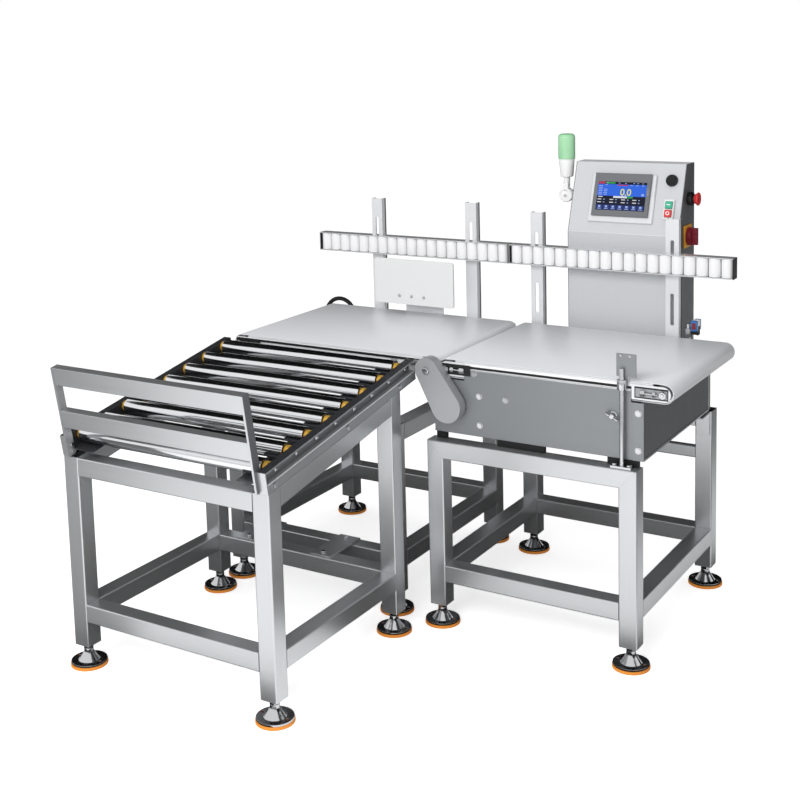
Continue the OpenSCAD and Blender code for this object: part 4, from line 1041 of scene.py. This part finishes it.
class CHECKWEIGHER_OT_screen(PieceOperator, bpy.types.Operator):
    """Lit picture on the touch screen"""

    bl_idname = "checkweigher.screen"
    bl_label = "Screen picture"

    def make(self, context):
        self.wide, self.tall = 154 * MM, 88 * MM
        self.turn = panel_frame() @ Matrix.Translation(mm(86, -13, 68.2))
        self.bm = bmesh.new()
        names = ("dark", "blue", "red", "green", "white", "digit", "icon", "glyph", "navy")
        dark, blue, red, green, white, digit, icon, glyph, navy = range(len(names))
        for patch in (
            (0, 0, 1, 1, dark, 0), (0.005, 0.005, 0.14, 0.075, red, 1), (0.155, 0.015, 0.35, 0.07, green, 1),
            (0, 0.085, 1, 0.5, blue, 1), (0.4, 0.1, 0.62, 0.135, red, 2), (0.91, 0.4, 0.96, 0.47, glyph, 2),
            (0, 0.5, 1, 0.8, navy, 1), (0.34, 0.5, 0.62, 0.565, white, 2), (0.62, 0.5, 0.74, 0.565, green, 2),
            (0.03, 0.52, 0.12, 0.55, white, 2),
        ):
            self.area(*patch)
        for u in (0.17, 0.42, 0.55, 0.72, 0.8, 0.9):
            self.area(u, 0.03, u + 0.035, 0.05, glyph, 2)
        for v in (0.14, 0.2, 0.26, 0.32, 0.38, 0.44):
            self.area(0.02, v, 0.1, v + 0.022, glyph, 2)
            if v > 0.22:
                self.area(0.13, v, 0.2, v + 0.022, glyph, 2)
        for u in (0.15, 0.66, 0.78, 0.9):
            self.area(u, 0.105, u + 0.05, 0.125, glyph, 2)
        for v in (0.61, 0.71):
            for u in (0.02, 0.27, 0.51, 0.74):
                self.area(u, v, u + 0.08, v + 0.028, white, 2)
                self.area(u + 0.12, v, u + 0.15, v + 0.028, glyph, 2)
        for i in range(7):
            u = 0.012 + i * 0.141
            self.area(u, 0.815, u + 0.125, 0.985, icon, 2)
            self.area(u + 0.04, 0.84, u + 0.085, 0.91, glyph, 3)
            self.area(u + 0.025, 0.94, u + 0.1, 0.96, glyph, 3)
        self.readout(context, digit)
        piece(self.bm, "screen_picture", ["screen_" + name for name in names], "black_plastic")
        self.side_strip()

    def area(self, u0, v0, u1, v1, paint, layer):
        """A flat patch between fractions of the lit width and height, measured from the top left"""
        before = set(self.bm.faces)
        low = Vector((u0 * self.wide, -layer * 0.06 * MM - 0.05 * MM, (1 - v1) * self.tall))
        high = Vector((u1 * self.wide, low.y, (1 - v0) * self.tall))
        size = Matrix.Diagonal((high.x - low.x, high.z - low.z, 1, 1))
        place = self.turn @ Matrix.Translation((low + high) / 2) @ Matrix.Rotation(math.pi / 2, 4, "X") @ size
        bmesh.ops.create_grid(self.bm, x_segments=1, y_segments=1, size=0.5, matrix=place)
        mark_new(self.bm, before, paint)

    def readout(self, context, paint):
        """The weight readout as a mesh"""
        text = bpy.data.curves.new("readout", "FONT")
        text.body = "0.0"
        text.size = sizes().digits * 1.38
        text.align_x = "CENTER"
        text.offset = 0.35 * MM
        holder = link("readout", text)
        mesh = bpy.data.meshes.new_from_object(holder.evaluated_get(context.evaluated_depsgraph_get()))
        bpy.data.objects.remove(holder)
        before, faces = set(self.bm.verts), set(self.bm.faces)
        self.bm.from_mesh(mesh)
        place = Matrix.Translation((0.585 * self.wide, -0.22 * MM, 0.53 * self.tall))
        bmesh.ops.transform(self.bm, verts=fresh(self.bm, before),
                            matrix=self.turn @ place @ Matrix.Rotation(math.pi / 2, 4, "X"))
        mark_new(self.bm, faces, paint)

    def side_strip(self):
        """Pale socket cover beside the screen"""
        bm = bmesh.new()
        block(bm, mm(242.5, -14.6, 116), mm(248.5, -13.8, 150), 0.3 * MM, 2, panel_frame())
        piece(bm, "socket_cover", "plate_steel", "white_plastic")


class CHECKWEIGHER_OT_lamp(PieceOperator, bpy.types.Operator):
    """Signal lamp on its tilting knuckle"""

    bl_idname = "checkweigher.lamp"
    bl_label = "Signal lamp"

    def make(self, context):
        softened("lamp_mount", "lamp_white", 0.8 * MM)
        middle = Vector(JOINTS["lamp_tilt"]["pos_m"])
        up, side = facing(middle, (0, 0, 1)), facing(middle, (0, -1, 0))
        body, lens, bolt = bmesh.new(), bmesh.new(), bmesh.new()
        disc = [(5.1, -1.5), (21, -1.5), (22, -0.5), (22, 11.5), (20.8, 13.4), (17.5, 14), (16.8, 13),
                (8.5, 13), (8, 14), (5.1, 14), (5.1, -1.5)]
        neck = [(0, 21), (9.4, 21), (10, 21.6), (10, 26), (9.2, 26.6), (9.2, 28.4), (10, 29), (10, 38),
                (9.2, 38.6), (9.2, 40.4), (10, 41), (10, 55), (12.5, 56.6), (17.5, 57), (19.6, 58.6),
                (20.4, 62), (24.2, 112), (24.2, 113), (0, 113)]
        bulb = [(0, 113.3), (25.4, 113.3), (26, 115), (26, 178), (25.4, 184), (23, 188.4), (19, 190.4),
                (0, 191)]
        lathe(body, disc, side)
        lathe(body, neck, up)
        block(body, middle + mm(-9, -13, 12), middle + mm(9, 1, 40), 3 * MM, 3)
        lathe(lens, bulb, up, 48)
        stand_in(body, "lamp_cup", "lamp_white", "lamp_body")
        stand_in(lens, "lamp_glass", "lens_green", "lamp_lens")
        lathe(bolt, [(4, 16), (4, 17.4), (2.4, 18), (0, 18.2)], side, 20)
        piece(bolt, "knuckle_bolt", "polished_steel", "bright_steel")


class CHECKWEIGHER_OT_photo_eye(PieceOperator, bpy.types.Operator):
    """Reflector and photo-eye on their rods"""

    bl_idname = "checkweigher.photo_eye"
    bl_label = "Photo-eye"

    def make(self, context):
        softened("eye_rods", "polished_steel", 0.5 * MM)
        self.reflector()
        self.sensor()

    def reflector(self):
        """Grey plate on a chromed clamp"""
        bm = rounded_copy("reflector", 0.5 * MM)
        axis = Vector(JOINTS["reflector_height"]["pos_m"])
        for face in bm.faces:
            away = face.calc_center_median() - axis
            face.material_index = 1 if away.xy.length < 13 * MM and away.z < 20 * MM else 0
        stand_in(bm, "reflector_plate", ["plate_steel", "polished_steel"], "reflector")

    def sensor(self):
        """Blue and white sensor head on a black bracket and a chromed clamp"""
        axis = Vector(JOINTS["sensor_height"]["pos_m"])
        low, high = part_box("photo_sensor")
        clamp, bracket, head, band, window = (bmesh.new() for _ in range(5))
        lathe(clamp, [(6.1, -13), (11.4, -13), (12, -12.4), (12, 12.4), (11.4, 13), (6.1, 13), (6.1, -13)],
              facing(axis, (0, 0, 1)))
        edge = Vector((high.x, axis.y, axis.z))
        block(bracket, axis + mm(9, -5, -5), edge + mm(-2, 5, 8.4), 0.6 * MM)
        block(bracket, edge + mm(-5, -9, -5), edge + mm(0, 9, 22), 0.6 * MM)
        foot, top = Vector((high.x, low.y, high.z)) + mm(-18, 0, -31), high + mm(-0.4, 0, 0)
        block(head, foot + mm(0, 1, 0.2), top - mm(0, 0.5, 0), 2.2 * MM, 3)
        block(band, foot + mm(-0.3, 12, -0.2), top + mm(0.3, -11, 0.3), 1.0 * MM)
        block(window, foot + mm(3.2, 0, 6), Vector((top.x, foot.y, top.z)) + mm(-3, 3, -6), 0.8 * MM)
        piece(clamp, "sensor_clamp", "polished_steel", "bright_steel", "photo_sensor")
        piece(bracket, "sensor_bracket", "black_plastic", "black_plastic", "photo_sensor")
        stand_in(head, "sensor_head", "blue_plastic", "photo_sensor")
        piece(band, "sensor_band", "white_plastic", "white_plastic", "photo_sensor")
        piece(window, "sensor_window", "window_red", "red_plastic", "photo_sensor")


class CHECKWEIGHER_OT_air_hose(PieceOperator, bpy.types.Operator):
    """Black air hose from the bed to the stand, with a fitting at both ends"""

    bl_idname = "checkweigher.air_hose"
    bl_label = "Air hose"

    def make(self, context):
        bend = Vector((-659.5, 575, 727))
        route = [Vector((-602, bend.y, z)) for z in (746, 752)]
        for degrees in range(24, 181, 12):
            angle = math.radians(degrees)
            route.append(bend + 57.5 * Vector((math.cos(angle), 0, math.sin(angle))))
        drop = ((-717.4, 712), (-716, 690), (-711.5, 664), (-704.5, 638), (-698, 614), (-693.8, 594), (-692, 574))
        route += [Vector((x, bend.y, z)) for x, z in drop]
        points = [at(*spot) for spot in route]
        data = bpy.data.curves.new("air_hose", "CURVE")
        data.dimensions = "3D"
        data.bevel_depth = sizes().hose / 2
        data.bevel_resolution = 4
        data.use_fill_caps = True
        spline = data.splines.new("POLY")
        spline.points.add(len(points) - 1)
        for spot, place in zip(spline.points, points):
            spot.co = (*place, 1)
        spline.use_smooth = True
        data.materials.append(material("black_rubber"))
        hose = link("air_hose", data)
        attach(hose, "frame")
        self.fittings(points)

    def fittings(self, points):
        """Angle bracket on the bed, and a hex body with a collar at each end of the hose"""
        bracket, bodies, collars = bmesh.new(), bmesh.new(), bmesh.new()
        block(bracket, at(-614, 553.5, 726), at(-590, 589, 729), 0.4 * MM)
        block(bracket, at(-614, 553.2, 726), at(-590, 556, 762), 0.4 * MM)
        for end, seat in ((points[0], 729), (points[-1], 561.2)):
            place = facing(Vector((end.x, end.y, seat * MM)), (0, 0, 1))
            rise = end.z / MM - seat
            hexagon(bodies, 20, rise * 0.55, place)
            lathe(collars, [(8.8, rise * 0.5), (8.8, rise * 0.8), (10, rise * 0.85), (10, rise + 1),
                            (7.1, rise + 1.6), (7.1, rise * 0.5)], place, 24)
        piece(bracket, "hose_bracket", "aluminium", "aluminium")
        piece(bodies, "hose_fittings", "polished_steel", "bright_steel")
        piece(collars, "hose_collars", "black_plastic", "black_plastic")


PIECES = (
    CHECKWEIGHER_OT_stage, CHECKWEIGHER_OT_air_hose, CHECKWEIGHER_OT_stands, CHECKWEIGHER_OT_feet,
    CHECKWEIGHER_OT_roller_table, CHECKWEIGHER_OT_conveyors, CHECKWEIGHER_OT_base_box, CHECKWEIGHER_OT_guides,
    CHECKWEIGHER_OT_cabinet, CHECKWEIGHER_OT_screen, CHECKWEIGHER_OT_lamp, CHECKWEIGHER_OT_photo_eye,
)


class CHECKWEIGHER_PT_panel(bpy.types.Panel):
    """Lists the pieces in the order in which they are made"""

    bl_idname = "CHECKWEIGHER_PT_panel"
    bl_label = "Checkweigher"
    bl_space_type = "VIEW_3D"
    bl_region_type = "UI"
    bl_category = "Checkweigher"

    def draw(self, context):
        for operator in PIECES:
            self.layout.operator(operator.bl_idname)
        for group in ("checkweigher_sizes", "checkweigher_colours", "checkweigher_stage"):
            values = getattr(context.scene, group)
            for name in values.bl_rna.properties.keys():
                if name not in {"rna_type", "name"}:
                    self.layout.prop(values, name)


GROUPS = {"checkweigher_sizes": MachineSizes, "checkweigher_colours": MachineColours,
          "checkweigher_stage": MachineStage}


def register():
    for cls in (*GROUPS.values(), *PIECES, CHECKWEIGHER_PT_panel):
        bpy.utils.register_class(cls)
    for name, cls in GROUPS.items():
        setattr(bpy.types.Scene, name, PointerProperty(type=cls))


def unregister():
    for name in GROUPS:
        delattr(bpy.types.Scene, name)
    for cls in (CHECKWEIGHER_PT_panel, *reversed(PIECES), *GROUPS.values()):
        bpy.utils.unregister_class(cls)


def main():
    register()
    for operator in PIECES:
        group, name = operator.bl_idname.split(".")
        getattr(getattr(bpy.ops, group), name)()


if __name__ == "__main__":
    main()
